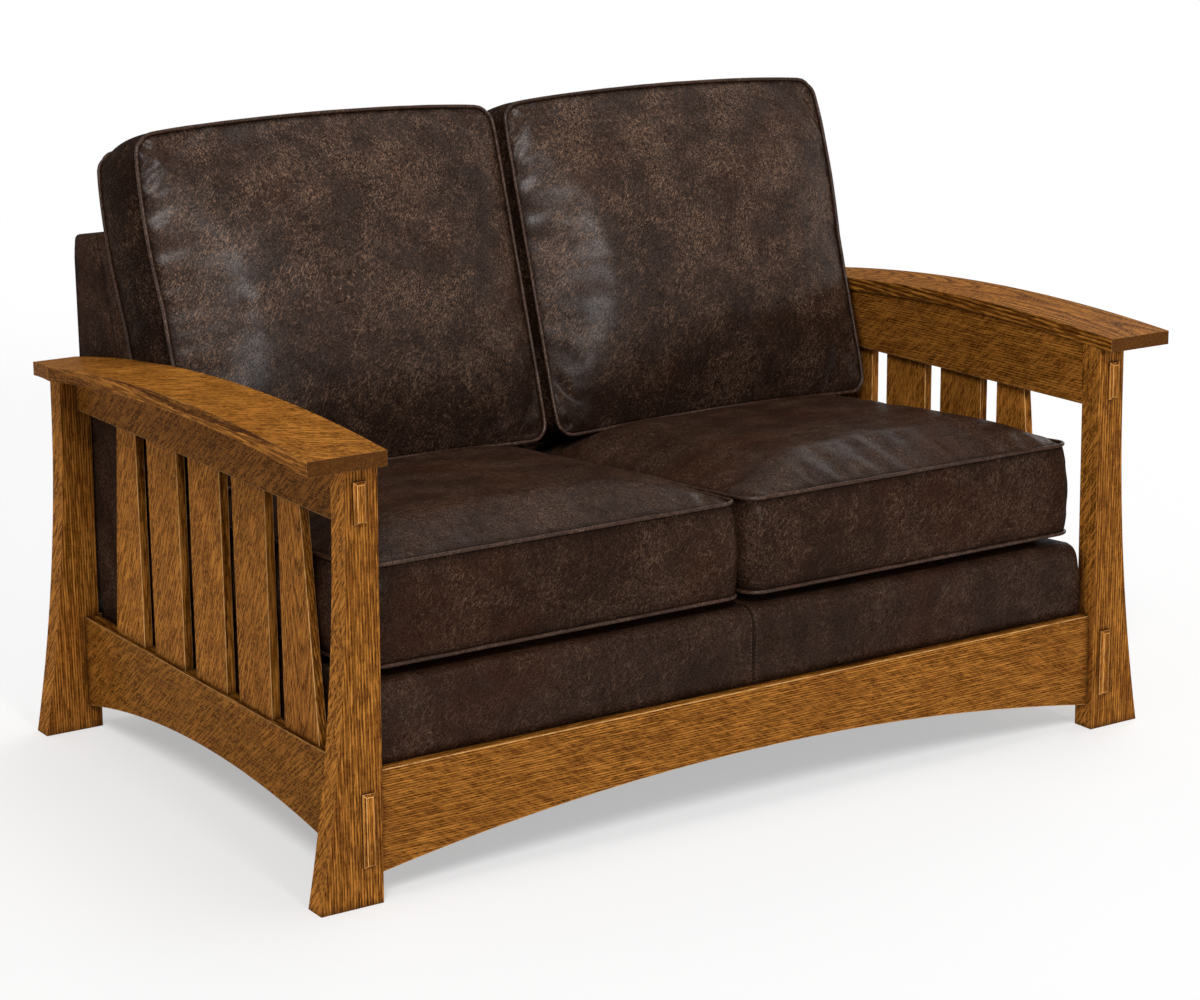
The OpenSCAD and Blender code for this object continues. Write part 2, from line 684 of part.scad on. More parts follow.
// Closed solid through a form's points. form(u, v, w) gives the place for u and v across a face and
// w from 1 on the top face to -1 on the bottom one.
module cushion_solid(form) polyhedron(
    points = concat(
        [for (u = across, v = along) form(u, v, 1)],
        [for (u = across, v = along) form(u, v, -1)],
        [for (ring = [1:rings - 1], p = rim) form(across[p[0]], along[p[1]], 1 - 2 * ring / rings)]
    ),
    faces = concat(
        [for (i = [0:nu - 1], j = [0:nv - 1]) each [
            [on_face(i, j), on_face(i, j + 1), on_face(i + 1, j + 1)],
            [on_face(i, j), on_face(i + 1, j + 1), on_face(i + 1, j)]
        ]],
        [for (i = [0:nu - 1], j = [0:nv - 1]) each [
            [face_n + on_face(i, j), face_n + on_face(i + 1, j + 1), face_n + on_face(i, j + 1)],
            [face_n + on_face(i, j), face_n + on_face(i + 1, j), face_n + on_face(i + 1, j + 1)]
        ]],
        [for (ring = [0:rings - 1], k = [0:rim_n - 1]) each [
            [on_rim(ring, k), on_rim(ring, k + 1), on_rim(ring + 1, k + 1)],
            [on_rim(ring, k), on_rim(ring + 1, k + 1), on_rim(ring + 1, k)]
        ]]
    )
);

// Corners are drawn in by a share of the half width, so that the plan has rounded corners
corner_power = 12;
function drawn_in(a, share) = 1 - share * pow(abs(a), corner_power);
function rim_sign(a) = abs(a) < 1 ? 0 : a;
// Share of the crown at a place: full in the middle, none on the rim
function dome(u, v, power) = (1 - pow(abs(u), power)) * (1 - pow(abs(v), power));
function mix(a, b, w) = (a * (1 - w) + b * (1 + w)) / 2;
// Outward direction at a place on the rim
function outward(u, v) = unit([
    sign(u) * pow(abs(u), corner_power),
    sign(v) * pow(abs(v), corner_power)
]);

welt_off = (welt_r + 0.1) / sqrt(2);
welt_reach = welt_off + welt_r;
boxing_belly = 4;

// Seat cushion, in the deck's directions: u across, outwards from the middle of the seat, v to the
// rear, w up
seat_pull = 0.004;
seat_out_x = upper_in_x - side_gap;
seat_half_w = (seat_out_x - seat_gap / 2) / 2 - welt_reach;
seat_mid_x = (seat_out_x + seat_gap / 2) / 2;
seat_half_d = seat_d / 2 - welt_reach;
function seat_form(u, v, w, inset) =
    let (
        pressed = seat_press * pow((1 + v) / 2, 4),
        top = seat_sag + seat_h - welt_off - pressed,
        foot = seat_sag + welt_off,
        high = top - inset + (seat_crown - welt_off) * dome(u, v, 10),
        low = foot + inset + (soft_gap - foot) * dome(u, v, 10),
        belly = boxing_belly * (1 - w * w)
    ) [
        (seat_half_w - inset) * u * drawn_in(v, seat_pull) + rim_sign(u) * belly,
        seat_d / 2 + (seat_half_d - inset) * v * drawn_in(u, seat_pull) + (v == -1 ? -belly : 0),
        mix(low, high, w)
    ];

// Back cushion, in the back's directions: u across, outwards from the middle of the seat, v up the
// recline, w forward. Its upper half bows out over the arm.
back_pull = 0.012;
back_out_x = arm_in_x - side_gap;
back_half_w = (back_out_x - back_gap / 2) / 2 - welt_reach;
back_mid_x = (back_out_x + back_gap / 2) / 2;
function back_form(u, v, w, inset) =
    let (
        foot = welt_off + inset + foot_bow * (1 - u * u),
        top = back_h - welt_off - inset + back_bow * (1 - u * u),
        front = welt_off + inset + (-back_crown - welt_off) * dome(u, v, 3),
        rear = back_t - welt_off - inset + (back_sag + welt_off) * dome(u, v, 10),
        belly = boxing_belly * (1 - w * w),
        rise = (1 + v * drawn_in(u, back_pull)) / 2,
        over_arm = side_bow * max(0, u) * sin(180 * max(0, v))
    ) [
        (back_half_w - inset) * u * drawn_in(v, back_pull) + rim_sign(u) * belly + over_arm,
        mix(rear, front, w),
        foot * (1 - rise) + top * rise + (v == 1 ? belly : 0)
    ];

// Welt along the rim of a face, as a closed tube. lift is the direction square to the face.
welt_sides = 5;
module welt(form, w, lift) {
    flat = function(d) lift[2] == 0 ? [d[0], 0, d[1]] : [d[0], d[1], 0];
    places = [for (p = rim)
        let (u = across[p[0]], v = along[p[1]], out = flat(outward(u, v)))
            [form(u, v, w) + welt_off * (out + lift), out]
    ];
    spin = function(k) 360 * k / welt_sides + 45 + 180 / welt_sides;
    polyhedron(
        points = [for (p = places, k = [0:welt_sides - 1])
            p[0] + welt_r * (cos(spin(k)) * p[1] + sin(spin(k)) * lift)],
        faces = [for (i = [0:rim_n - 1], k = [0:welt_sides - 1])
            let (
                j = (i + 1) % rim_n,
                m = (k + 1) % welt_sides,
                a = i * welt_sides + k,
                b = i * welt_sides + m,
                c = j * welt_sides + m,
                d = j * welt_sides + k
            )
                each w > 0 ? [[a, b, c], [a, c, d]] : [[a, c, b], [a, d, c]]
        ]
    );
}

// Zip tape along the boxing, over the middle cells of one side, with a slider at its end
zip_span = [for (i = [2:nu - 2]) across[i]];
zip_w = 22;
zip_t = 1.2;
module zip(form, v, out, boxing_h) {
    half = v * zip_w / boxing_h;
    row = function(u, w, off) form(u, v, w) + out * off;
    n = len(zip_span);
    polyhedron(
        points = [for (u = zip_span) each [
            row(u, -half, play), row(u, -half, play + zip_t),
            row(u, half, play + zip_t), row(u, half, play)
        ]],
        faces = concat(
            [[0, 1, 2], [0, 2, 3]],
            [for (i = [0:n - 2], k = [0:3])
                let (a = 4 * i + k, b = 4 * i + (k + 1) % 4, c = b + 4, d = a + 4)
                    each [[a, d, c], [a, c, b]]],
            [[4 * n - 4, 4 * n - 2, 4 * n - 3], [4 * n - 4, 4 * n - 1, 4 * n - 2]]
        )
    );
}

module seat_place(side) on_side(side) on_deck() translate([seat_mid_x, 0, 0]) children();
module back_place(side) on_side(side) on_back() translate([back_mid_x, 0, 0]) children();

module seat_cushion_cover(side) color(hide) seat_place(side) difference() {
    cushion_solid(function(u, v, w) seat_form(u, v, w, 0));
    cushion_solid(function(u, v, w) seat_form(u, v, w, cover_t));
}
module seat_core(side) color(foam) seat_place(side)
    cushion_solid(function(u, v, w) seat_form(u, v, w, cover_t + soft_gap));
module seat_welts(side) color(hide) seat_place(side) for (s = [-1, 1])
    welt(function(u, v, w) seat_form(u, v, w, 0), s, [0, 0, s]);
module seat_zip(side) color(steel) seat_place(side)
    zip(function(u, v, w) seat_form(u, v, w, 0), 1, [0, 1, 0], seat_h);

module back_cushion_cover(side) color(hide) back_place(side) difference() {
    cushion_solid(function(u, v, w) back_form(u, v, w, 0));
    cushion_solid(function(u, v, w) back_form(u, v, w, cover_t));
}
module back_core(side) color(foam) back_place(side)
    cushion_solid(function(u, v, w) back_form(u, v, w, cover_t + soft_gap));
module back_welts(side) color(hide) back_place(side) for (s = [-1, 1])
    welt(function(u, v, w) back_form(u, v, w, 0), s, [0, -s, 0]);
module back_zip(side) color(steel) back_place(side)
    zip(function(u, v, w) back_form(u, v, w, 0), -1, [0, 0, -1], back_t);

leg(LEFT, front_y);  // front_left_leg
leg(RIGHT, front_y);  // front_right_leg
leg(LEFT, rear_y - leg_t);  // rear_left_leg
leg(RIGHT, rear_y - leg_t);  // rear_right_leg
arm(LEFT);  // left_arm
arm(RIGHT);  // right_arm
upper_rail(LEFT);  // left_upper_rail
upper_rail(RIGHT);  // right_upper_rail
lower_rail(LEFT);  // left_lower_rail
lower_rail(RIGHT);  // right_lower_rail
side_slat(LEFT, 1);  // left_slat_1
side_slat(LEFT, 2);  // left_slat_2
side_slat(LEFT, 3);  // left_slat_3
side_slat(LEFT, 4);  // left_slat_4
side_slat(LEFT, 5);  // left_slat_5
side_slat(RIGHT, 1);  // right_slat_1
side_slat(RIGHT, 2);  // right_slat_2
side_slat(RIGHT, 3);  // right_slat_3
side_slat(RIGHT, 4);  // right_slat_4
side_slat(RIGHT, 5);  // right_slat_5
tenon_ends();
front_apron();
rear_apron();
cleats();
arm_dowels();
cleat_screws();
seat_front_rail();
seat_rear_rail();
seat_side_rail(LEFT);  // seat_left_rail
seat_side_rail(RIGHT);  // seat_right_rail
seat_springs_set();
spring_clips();
burlap_sheet();
deck_pad();
deck_cover();
dust_cover();
back_post(LEFT);  // back_left_post
back_post(RIGHT);  // back_right_post
back_top_rail();
back_bottom_rail();
back_base_rail();
back_springs_set();
back_padding();
back_cover();
seat_cushion_cover(LEFT);  // seat_left_cushion_cover
seat_welts(LEFT);  // seat_left_welts
seat_core(LEFT);  // seat_left_core
seat_zip(LEFT);  // seat_left_zip
seat_cushion_cover(RIGHT);  // seat_right_cushion_cover
seat_welts(RIGHT);  // seat_right_welts
seat_core(RIGHT);  // seat_right_core
seat_zip(RIGHT);  // seat_right_zip
back_cushion_cover(LEFT);  // back_left_cushion_cover
back_welts(LEFT);  // back_left_welts
back_core(LEFT);  // back_left_core
back_zip(LEFT);  // back_left_zip
back_cushion_cover(RIGHT);  // back_right_cushion_cover
back_welts(RIGHT);  // back_right_welts
back_core(RIGHT);  // back_right_core
back_zip(RIGHT);  // back_right_zip
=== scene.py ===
"""A two-seat loveseat: a quarter-sawn oak frame with bowed arms, flared legs, slatted sides and
arched aprons, a sprung deck and back in dark worn leather, and four loose welted box cushions."""
import math

import bmesh
import bpy
from mathutils import Matrix, Vector, noise
from mathutils.bvhtree import BVHTree


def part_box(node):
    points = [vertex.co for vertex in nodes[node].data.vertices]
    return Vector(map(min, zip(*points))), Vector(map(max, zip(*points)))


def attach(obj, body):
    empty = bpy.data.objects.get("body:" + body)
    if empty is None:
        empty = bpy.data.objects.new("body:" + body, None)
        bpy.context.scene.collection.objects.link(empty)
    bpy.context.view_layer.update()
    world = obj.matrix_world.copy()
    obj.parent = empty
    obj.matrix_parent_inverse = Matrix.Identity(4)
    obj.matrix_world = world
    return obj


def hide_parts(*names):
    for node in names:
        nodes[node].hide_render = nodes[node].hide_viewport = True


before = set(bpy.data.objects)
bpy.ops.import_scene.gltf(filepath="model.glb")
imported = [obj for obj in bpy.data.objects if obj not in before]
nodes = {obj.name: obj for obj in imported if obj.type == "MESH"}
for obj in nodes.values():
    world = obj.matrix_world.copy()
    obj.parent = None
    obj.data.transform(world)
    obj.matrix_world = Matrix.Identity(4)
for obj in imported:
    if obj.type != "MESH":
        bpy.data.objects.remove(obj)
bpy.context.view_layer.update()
scene = bpy.context.scene
scene.view_settings.view_transform = "Standard"

# Studio: a camera left of the front and a little above the arms, and a pale floor. Soft light comes
# from above, from high on the left, from beside the camera and weakly from behind on the right.
camera_data = bpy.data.cameras.new("camera")
camera_data.sensor_width = 36.0
camera_data.lens = 89.63
camera_data.clip_end = 200.0
camera = bpy.data.objects.new("camera", camera_data)
look = Vector((0.53195, 0.81026, -0.24599))
right = Vector((0.83476, -0.55056, -0.00830))
up = Vector((0.14216, 0.20092, 0.96924))
turn = Matrix((right, up, -look)).transposed().to_4x4()
camera.matrix_world = Matrix.Translation((-2.4722, -3.8016, 1.5220)) @ turn
scene.collection.objects.link(camera)
scene.camera = camera
FLOOR_REACH = 60.0
PAPER = (0.97, 0.97, 0.97)
PAPER_GLOW = 0.40
ROOM_FILL = 0.31


def feed(tree, target, value):
    """Sets a socket to a value, or links it to the socket that feeds it."""
    if isinstance(value, bpy.types.NodeSocket):
        tree.links.new(value, target)
    else:
        target.default_value = value


def wire(tree, kind, feeds=None, **settings):
    """Adds a node to a tree. feeds maps its sockets to values or to the sockets that feed them."""
    node = tree.nodes.new("ShaderNode" + kind)
    for name, value in settings.items():
        setattr(node, name, value)
    for socket, value in (feeds or {}).items():
        feed(tree, node.inputs[socket], value)
    return node


def work_out(tree, operation, a, b=0.0, c=0.0):
    """One step of arithmetic on values."""
    return wire(tree, "Math", {0: a, 1: b, 2: c}, operation=operation).outputs[0]


def new_material(name):
    """A material, its tree and its Principled shader."""
    material = bpy.data.materials.new(name)
    material.use_nodes = True
    return material, material.node_tree, material.node_tree.nodes["Principled BSDF"]


def in_sight(tree):
    """1 for what the camera sees, straight or in a gloss, and 0 for light on its way."""
    path = wire(tree, "LightPath").outputs
    seen = work_out(tree, "MAXIMUM", path["Is Camera Ray"], path["Is Glossy Ray"])
    return work_out(tree, "MAXIMUM", seen, path["Is Transmission Ray"])


def new_object(name, mesh):
    """An object made of a finished bmesh."""
    data = bpy.data.meshes.new(name)
    mesh.to_mesh(data)
    mesh.free()
    made = bpy.data.objects.new(name, data)
    scene.collection.objects.link(made)
    return made


mesh = bmesh.new()
bmesh.ops.create_grid(mesh, x_segments=8, y_segments=8, size=FLOOR_REACH)
studio_floor = new_object("studio_floor", mesh)
paper, tree, shader = new_material("studio_paper")
shader.inputs["Base Color"].default_value = (*PAPER, 1)
shader.inputs["Roughness"].default_value = 1.0
shader.inputs["Specular IOR Level"].default_value = 0.0
share = work_out(tree, "MULTIPLY", in_sight(tree), PAPER_GLOW)
glow = wire(tree, "Emission", {"Color": (1, 1, 1, 1), "Strength": 1.0}).outputs[0]
pale = wire(tree, "MixShader", {0: share, 1: shader.outputs[0], 2: glow}).outputs[0]
tree.links.new(pale, tree.nodes["Material Output"].inputs["Surface"])
studio_floor.data.materials.append(paper)

for name, strength, width, aim in (
    ("light_overhead", 0.58, 30, (-0.25, -0.05, -0.97)),
    ("light_high_left", 1.84, 20, (0.40, 0.60, -0.69)),
    ("light_by_camera", 0.92, 9, (0.02, 0.96, -0.29)),
    ("light_behind_right", 0.50, 30, (-0.80, -0.50, -0.33)),
):
    light = bpy.data.lights.new(name, "SUN")
    light.energy = strength
    light.angle = math.radians(width)
    lamp = bpy.data.objects.new(name, light)
    lamp.rotation_euler = Vector(aim).to_track_quat("-Z", "Y").to_euler()
    scene.collection.objects.link(lamp)

scene.world = bpy.data.worlds.new("studio")
scene.world.use_nodes = True
tree = scene.world.node_tree
tree.nodes.clear()
fill = wire(tree, "Background", {"Color": (1, 1, 1, 1), "Strength": ROOM_FILL}).outputs[0]
white = wire(tree, "Background", {"Color": (1, 1, 1, 1), "Strength": 1.0}).outputs[0]
shown = wire(tree, "MixShader", {0: in_sight(tree), 1: fill, 2: white}).outputs[0]
wire(tree, "OutputWorld", {"Surface": shown})

# Oak: boards sawn from the log, stained golden brown, with a dark glaze left in pores and corners; the
# darkening in corners and between boards is also painted shade.
# One group holds the log. Each board reads it in its own directions: X along the grain, Z square
# to the wide face.


def new_group(name, vectors, values, outputs):
    """A shader group with vector inputs, number inputs, a colour and further number outputs."""
    group = bpy.data.node_groups.new(name, "ShaderNodeTree")
    for socket in vectors:
        group.interface.new_socket(socket, in_out="INPUT", socket_type="NodeSocketVector")
    for socket, value in values.items():
        added = group.interface.new_socket(socket, in_out="INPUT", socket_type="NodeSocketFloat")
        added.default_value = value
    group.interface.new_socket("Color", in_out="OUTPUT", socket_type="NodeSocketColor")
    for socket in outputs:
        group.interface.new_socket(socket, in_out="OUTPUT", socket_type="NodeSocketFloat")
    return group


def times(tree, a, b):
    """Two values multiplied."""
    return work_out(tree, "MULTIPLY", a, b)


def spread(tree, value, low, high, to_low=0.0, to_high=1.0):
    """The part of a value between two levels, spread smoothly over another range."""
    return wire(tree, "MapRange", {"Value": value, "From Min": low, "From Max": high,
                                   "To Min": to_low, "To Max": to_high},
                interpolation_type="SMOOTHSTEP").outputs["Result"]


def arrow(tree, operation, a, b=(0, 0, 0), output=0):
    """One step of arithmetic on vectors."""
    return wire(tree, "VectorMath", {0: a, 1: b}, operation=operation).outputs[output]


def scaled(tree, vector, size):
    """A vector or colour multiplied by one number."""
    return wire(tree, "VectorMath", {0: vector, "Scale": size}, operation="SCALE").outputs[0]


def cloudy(tree, vector, scale=1.0, detail=2.0, rough=0.5, output="Fac"):
    """A noise at some places, from 0 to 1."""
    return wire(tree, "TexNoise", {"Vector": vector, "Scale": scale, "Detail": detail,
                                   "Roughness": rough}).outputs[output]


def streaky(tree, vector, stretch, detail=2.0, rough=0.5):
    """A noise finer in some directions than in others."""
    return cloudy(tree, arrow(tree, "MULTIPLY", vector, stretch), detail=detail, rough=rough)


def tinted(tree, share, one, other):
    """Two colours mixed by a share."""
    node = wire(tree, "Mix", {"Factor": share}, data_type="RGBA")
    for socket, value in (("A", one), ("B", other)):
        target = [s for s in node.inputs if s.name == socket and s.type == "RGBA"][0]
        feed(tree, target, value if isinstance(value, bpy.types.NodeSocket) else (*value, 1))
    return [s for s in node.outputs if s.type == "RGBA"][0]


def facing(tree, normal, direction):
    """How squarely the surface faces a direction, or away from it."""
    return work_out(tree, "ABSOLUTE", arrow(tree, "DOT_PRODUCT", normal, direction, "Value"))


PALE_WOOD = (0.510, 0.204, 0.034)
EARLY_WOOD = (0.048, 0.013, 0.002)
FIBRE = (0.190, 0.064, 0.008)
DARK_STREAK = (0.070, 0.019, 0.002)
STAIN = (0.150, 0.046, 0.006)
PORE = (0.030, 0.008, 0.001)
BEHIND_FLECKS = (0.108, 0.032, 0.004)
FLECK = (0.545, 0.213, 0.034)
# Pale oak for the eased edges: wear, and a painted highlight along the arrises
WORN_WOOD_AND_HIGHLIGHT = (0.56, 0.30, 0.105)
END_GRAIN = (0.052, 0.019, 0.005)
# Dark glaze in corners and between boards, also painted shade there
GLAZE_AND_PAINTED_SHADE = (0.030, 0.010, 0.003)


def build_oak(tree):
    """Rings around the heart, porous early wood, ray flecks on the wide faces, cloudy stain."""
    given = tree.nodes.new("NodeGroupInput").outputs
    board = given["Board"]
    sway = cloudy(tree, arrow(tree, "MULTIPLY", board, (2.2, 9, 9)), output="Color")
    sway = arrow(tree, "SUBTRACT", sway, (0.5, 0.5, 0.5))
    grain = arrow(tree, "ADD", board, scaled(tree, sway, given["Waver"]))
    radius = arrow(tree, "LENGTH", arrow(tree, "MULTIPLY", grain, (0, 1, 1)), output="Value")
    turns = work_out(tree, "DIVIDE", radius, given["Ring gap"])
    ragged = streaky(tree, grain, (30, 700, 700))
    season = work_out(tree, "FRACT", work_out(tree, "MULTIPLY_ADD", ragged, 0.5, turns))
    early = spread(tree, season, 0.02, 0.62, 1.0, 0.0)
    # On a narrow face sawn at a slant across the grain, the rings blur to an even tone
    on_end = facing(tree, given["Normal"], given["Along"])
    wide = spread(tree, facing(tree, given["Normal"], given["Face"]), 0.5, 0.95, 0.12, 1.0)
    narrow = spread(tree, wide, 0.3, 0.6, 0.85, 0.0)
    sawn_across = times(tree, spread(tree, on_end, 0.06, 0.20), narrow)
    early = work_out(tree, "MULTIPLY_ADD", work_out(tree, "SUBTRACT", 0.4, early), sawn_across, early)
    pores = spread(tree, streaky(tree, grain, (48, 560, 560), rough=0.6), 0.47, 0.54)
    pores = times(tree, pores, work_out(tree, "MULTIPLY_ADD", early, 0.65, 0.35))
    broken = spread(tree, streaky(tree, grain, (20, 300, 300), rough=0.6), 0.44, 0.56)
    # Flecks: broken streaks that cross the grain at a slant and wander
    slanted = wire(tree, "VectorRotate", {"Vector": grain, "Angle": given["Slant"]},
                   rotation_type="Z_AXIS").outputs[0]
    streaks = streaky(tree, slanted, (24, 270, 60), rough=0.6)
    specks = streaky(tree, slanted, (120, 330, 160), rough=0.6)
    patches = streaky(tree, grain, (14, 34, 34))
    fleck = times(tree, spread(tree, streaks, 0.50, 0.56), spread(tree, patches, 0.32, 0.62, 0.40, 1.0))
    fleck = work_out(tree, "MAXIMUM", fleck, spread(tree, specks, 0.53, 0.59, 0.0, 0.75))
    flecked = times(tree, wide, given["Fleck"])
    fleck = times(tree, fleck, flecked)
    unflecked = work_out(tree, "MULTIPLY_ADD", flecked, -0.55, 1.0)
    stain = streaky(tree, board, (7, 22, 22), detail=4, rough=0.6)
    fibre = streaky(tree, grain, (16, 420, 420), detail=3, rough=0.65)
    color = tinted(tree, times(tree, early, unflecked), PALE_WOOD, EARLY_WOOD)
    color = tinted(tree, spread(tree, fibre, 0.3, 0.7, 0.0, 0.4), color, FIBRE)
    color = tinted(tree, times(tree, times(tree, broken, unflecked), 0.80), color, DARK_STREAK)
    color = tinted(tree, times(tree, spread(tree, stain, 0.35, 0.75), 0.45), color, STAIN)
    color = tinted(tree, times(tree, pores, 0.9), color, PORE)
    color = tinted(tree, work_out(tree, "SUBTRACT", 1.0, unflecked), color, BEHIND_FLECKS)
    color = tinted(tree, times(tree, fleck, 0.90), color, FLECK)
    # The eased edges are painted pale: wear, and a painted highlight along the arrises
    worn = spread(tree, streaky(tree, board, (60, 60, 60), detail=3), 0.3, 0.6, 0.35, 1.0)
    color = tinted(tree, times(tree, worn, given["Worn and highlit"]), color, WORN_WOOD_AND_HIGHLIGHT)
    dark_end = times(tree, spread(tree, on_end, 0.80, 0.96, 0.0, 0.75),
                     work_out(tree, "SUBTRACT", 1.0, given["Worn and highlit"]))
    color = tinted(tree, dark_end, color, END_GRAIN)
    # Painted shade: the colour darkens where other surfaces are close, in corners and between boards, for
    # the glaze gathered there and for the shade that falls there
    corners = wire(tree, "AmbientOcclusion", {"Distance": 0.016}, samples=4).outputs["AO"]
    glaze_and_shade = spread(tree, corners, 0.35, 1.0, 1.0, 0.0)
    color = tinted(tree, times(tree, glaze_and_shade, 0.85), color, GLAZE_AND_PAINTED_SHADE)
    out = tree.nodes.new("NodeGroupOutput").inputs
    feed(tree, out["Color"], scaled(tree, color, given["Shade"]))
    feed(tree, out["Roughness"], work_out(tree, "MULTIPLY_ADD", pores, 0.25, 0.42))
    feed(tree, out["Height"], work_out(tree, "MULTIPLY_ADD", pores, -1.0, times(tree, fleck, 0.25)))


oak_log = new_group("oak_log", ("Board", "Normal", "Face", "Along"),
                    {"Ring gap": 0.004, "Waver": 0.004, "Fleck": 0.5, "Slant": 0.6, "Shade": 1.0,
                     "Worn and highlit": 0.0}, ("Roughness", "Height"))
build_oak(oak_log)

# Directions of a board: along the grain, across its wide face, square to that face
STANDING = Matrix(((0, 0, 1), (0, 1, 0), (-1, 0, 0)))
LYING = Matrix(((0, 1, 0), (-1, 0, 0), (0, 0, 1)))
ON_EDGE = Matrix(((0, 1, 0), (0, 0, 1), (1, 0, 0)))
ACROSS = Matrix(((1, 0, 0), (0, 0, 1), (0, -1, 0)))
VARNISH_GLOW = (1.0, 0.93, 0.82, 1)


def surface(tree, shader, color, roughness, height, strength, depth):
    """Feeds a shader its colour, its roughness and a relief of some depth."""
    bump = wire(tree, "Bump", {"Height": height, "Strength": strength, "Distance": depth})
    feed(tree, shader.inputs["Base Color"], color)
    feed(tree, shader.inputs["Roughness"], roughness)
    feed(tree, shader.inputs["Normal"], bump.outputs[0])


def oak(name, centre, grain, heart, tilt=0.0, ring=0.004, waver=0.004, fleck=0.5, slant=0.6,
        shade=1.0, worn=0.0):
    """Stained oak for one board. heart is the place of the board's middle from the heart of the
    log, across and through the board, in metres. tilt is the slope of the grain through it."""
    turn = Matrix.Rotation(tilt, 3, "Y") @ grain
    material, tree, shader = new_material(name)
    place = wire(tree, "TexCoord").outputs
    along_log = sum(ord(letter) for letter in name) % 97 * 0.31
    own = Vector((along_log, *heart)) - turn @ centre
    board = wire(tree, "Mapping", {"Vector": place["Object"], "Location": own,
                                   "Rotation": turn.to_euler("XYZ")}).outputs[0]
    given = {"Board": board, "Normal": place["Normal"], "Face": grain.transposed() @ Vector((0, 0, 1)),
             "Along": grain.transposed() @ Vector((1, 0, 0)), "Ring gap": ring, "Waver": waver,
             "Fleck": fleck, "Slant": slant, "Shade": shade, "Worn and highlit": worn}
    made = wire(tree, "Group", given, node_tree=oak_log).outputs
    surface(tree, shader, made["Color"], made["Roughness"], made["Height"], 0.8, 0.0009)
    shader.inputs["Specular IOR Level"].default_value = 0.0
    shader.inputs["Coat Weight"].default_value = 0.06
    shader.inputs["Coat Roughness"].default_value = 0.32
    shader.inputs["Coat Tint"].default_value = VARNISH_GLOW
    return material


def ease_edges(board, width):
    """Rounds the edges of a packed board, and gives the rounding the board's second material."""
    weld = board.modifiers.new("weld", "WELD")
    weld.merge_threshold = 0.00002
    flat = board.modifiers.new("flat_faces", "DECIMATE")
    flat.decimate_type = "DISSOLVE"
    flat.angle_limit = math.radians(0.1)
    ease = board.modifiers.new("eased_edges", "BEVEL")
    ease.width = width
    ease.segments = 2
    ease.limit_method = "ANGLE"
    ease.angle_limit = math.radians(28)
    ease.material = 1
    smooth = board.modifiers.new("even_light", "WEIGHTED_NORMAL")
    smooth.keep_sharp = False


def finish_board(name, grain, heart, ease=0.0014, **look):
    """Gives a packed oak board its own piece of the log and eased edges, worn pale with a painted
    highlight.
    """
    board = nodes[name]
    low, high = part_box(name)
    centre = (low + high) / 2
    board.data.materials.clear()
    board.data.materials.append(oak("oak_" + name, centre, grain, heart, **look))
    # The rounding's material is painted pale: wear, and a painted highlight
    board.data.materials.append(oak("oak_edge_" + name, centre, grain, heart, worn=1.0, **look))
    board.data.polygons.foreach_set("use_smooth", [True] * len(board.data.polygons))
    ease_edges(board, ease)


# Legs: four flat oak boards, straight above and flaring out to the floor. Their faces show straight
# close grain and their sides the flecks of the rays.
for name, heart, shade in (
    ("front_left_leg", (0.055, 0.17), 1.04), ("front_right_leg", (-0.06, -0.16), 1.02),
    ("rear_left_leg", (0.05, -0.18), 0.95), ("rear_right_leg", (0.045, 0.17), 0.97),
):
    finish_board(name, STANDING, heart, ring=0.0042, fleck=0.9, shade=shade)

# Arms and side rails: a bowed board on each side, on a straight rail that follows its underside,
# and an arched rail between the legs below. The right arm shows the arches of the rings.
for name, heart, tilt, fleck, slant, shade in (
    ("left_arm", (0.16, 0.012), 0.0, 0.95, -0.95, 1.0),
    ("right_arm", (0.012, 0.05), 0.045, 0.25, 0.95, 1.2),
):
    finish_board(name, LYING, heart, ease=0.0022, tilt=tilt, ring=0.0052, waver=0.007, fleck=fleck,
                 slant=slant, shade=shade)
for name, heart, fleck, shade in (
    ("left_upper_rail", (0.15, 0.02), 0.75, 0.63), ("right_upper_rail", (0.16, -0.03), 0.4, 1.15),
    ("left_lower_rail", (-0.17, 0.03), 0.75, 0.74), ("right_lower_rail", (0.15, 0.03), 0.4, 1.0),
):
    finish_board(name, ON_EDGE, heart, waver=0.005, fleck=fleck, slant=0.65, shade=shade)

# Slats: five thin oak boards in each side, let into the rails. The front left one is plain sawn
# and shows the pointed arches of the rings.
PLAIN_SAWN = "left_slat_1"
for number, shade in enumerate((1.22, 0.90, 0.96, 0.92, 1.0), start=1):
    for side, sign, fleck, lighter in (("left", 1, 0.9, 1.0), ("right", -1, 0.6, 1.4)):
        name = f"{side}_slat_{number}"
        if name == PLAIN_SAWN:
            finish_board(name, STANDING, (0.006, 0.045), ease=0.0011, tilt=0.07, waver=0.010,
                         fleck=0.35, slant=0.45, shade=shade)
        else:
            finish_board(name, STANDING, (sign * (0.11 + 0.013 * number), 0.011 * sign), ease=0.0011,
                         waver=0.005, fleck=fleck, slant=0.45, shade=shade * lighter)

# Tenon ends: the through-tenons' bevelled ends stand out of the faces of the front legs, worn pale on
# their bevels, with a painted highlight.
finish_board("tenon_ends", STANDING, (0.02, 0.12), ease=0.0005, ring=0.003, fleck=0.3, shade=1.30)

# Aprons: an arched oak board between the front legs and another between the rear legs, with
# straight fine grain along them.
finish_board("front_apron", ACROSS, (0.21, 0.03), ring=0.0036, waver=0.006, fleck=0.25, shade=1.0)
finish_board("rear_apron", ACROSS, (0.19, -0.02), ring=0.0038, waver=0.006, fleck=0.25, shade=0.95)


# Inner frame: cleats, rails, posts and dowels of plain hardwood, left unstained. They are hidden
# by the upholstery, or seen from below.
def clad(material, *names):
    """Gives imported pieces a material."""
    for name in names:
        nodes[name].data.materials.clear()
        nodes[name].data.materials.append(material)


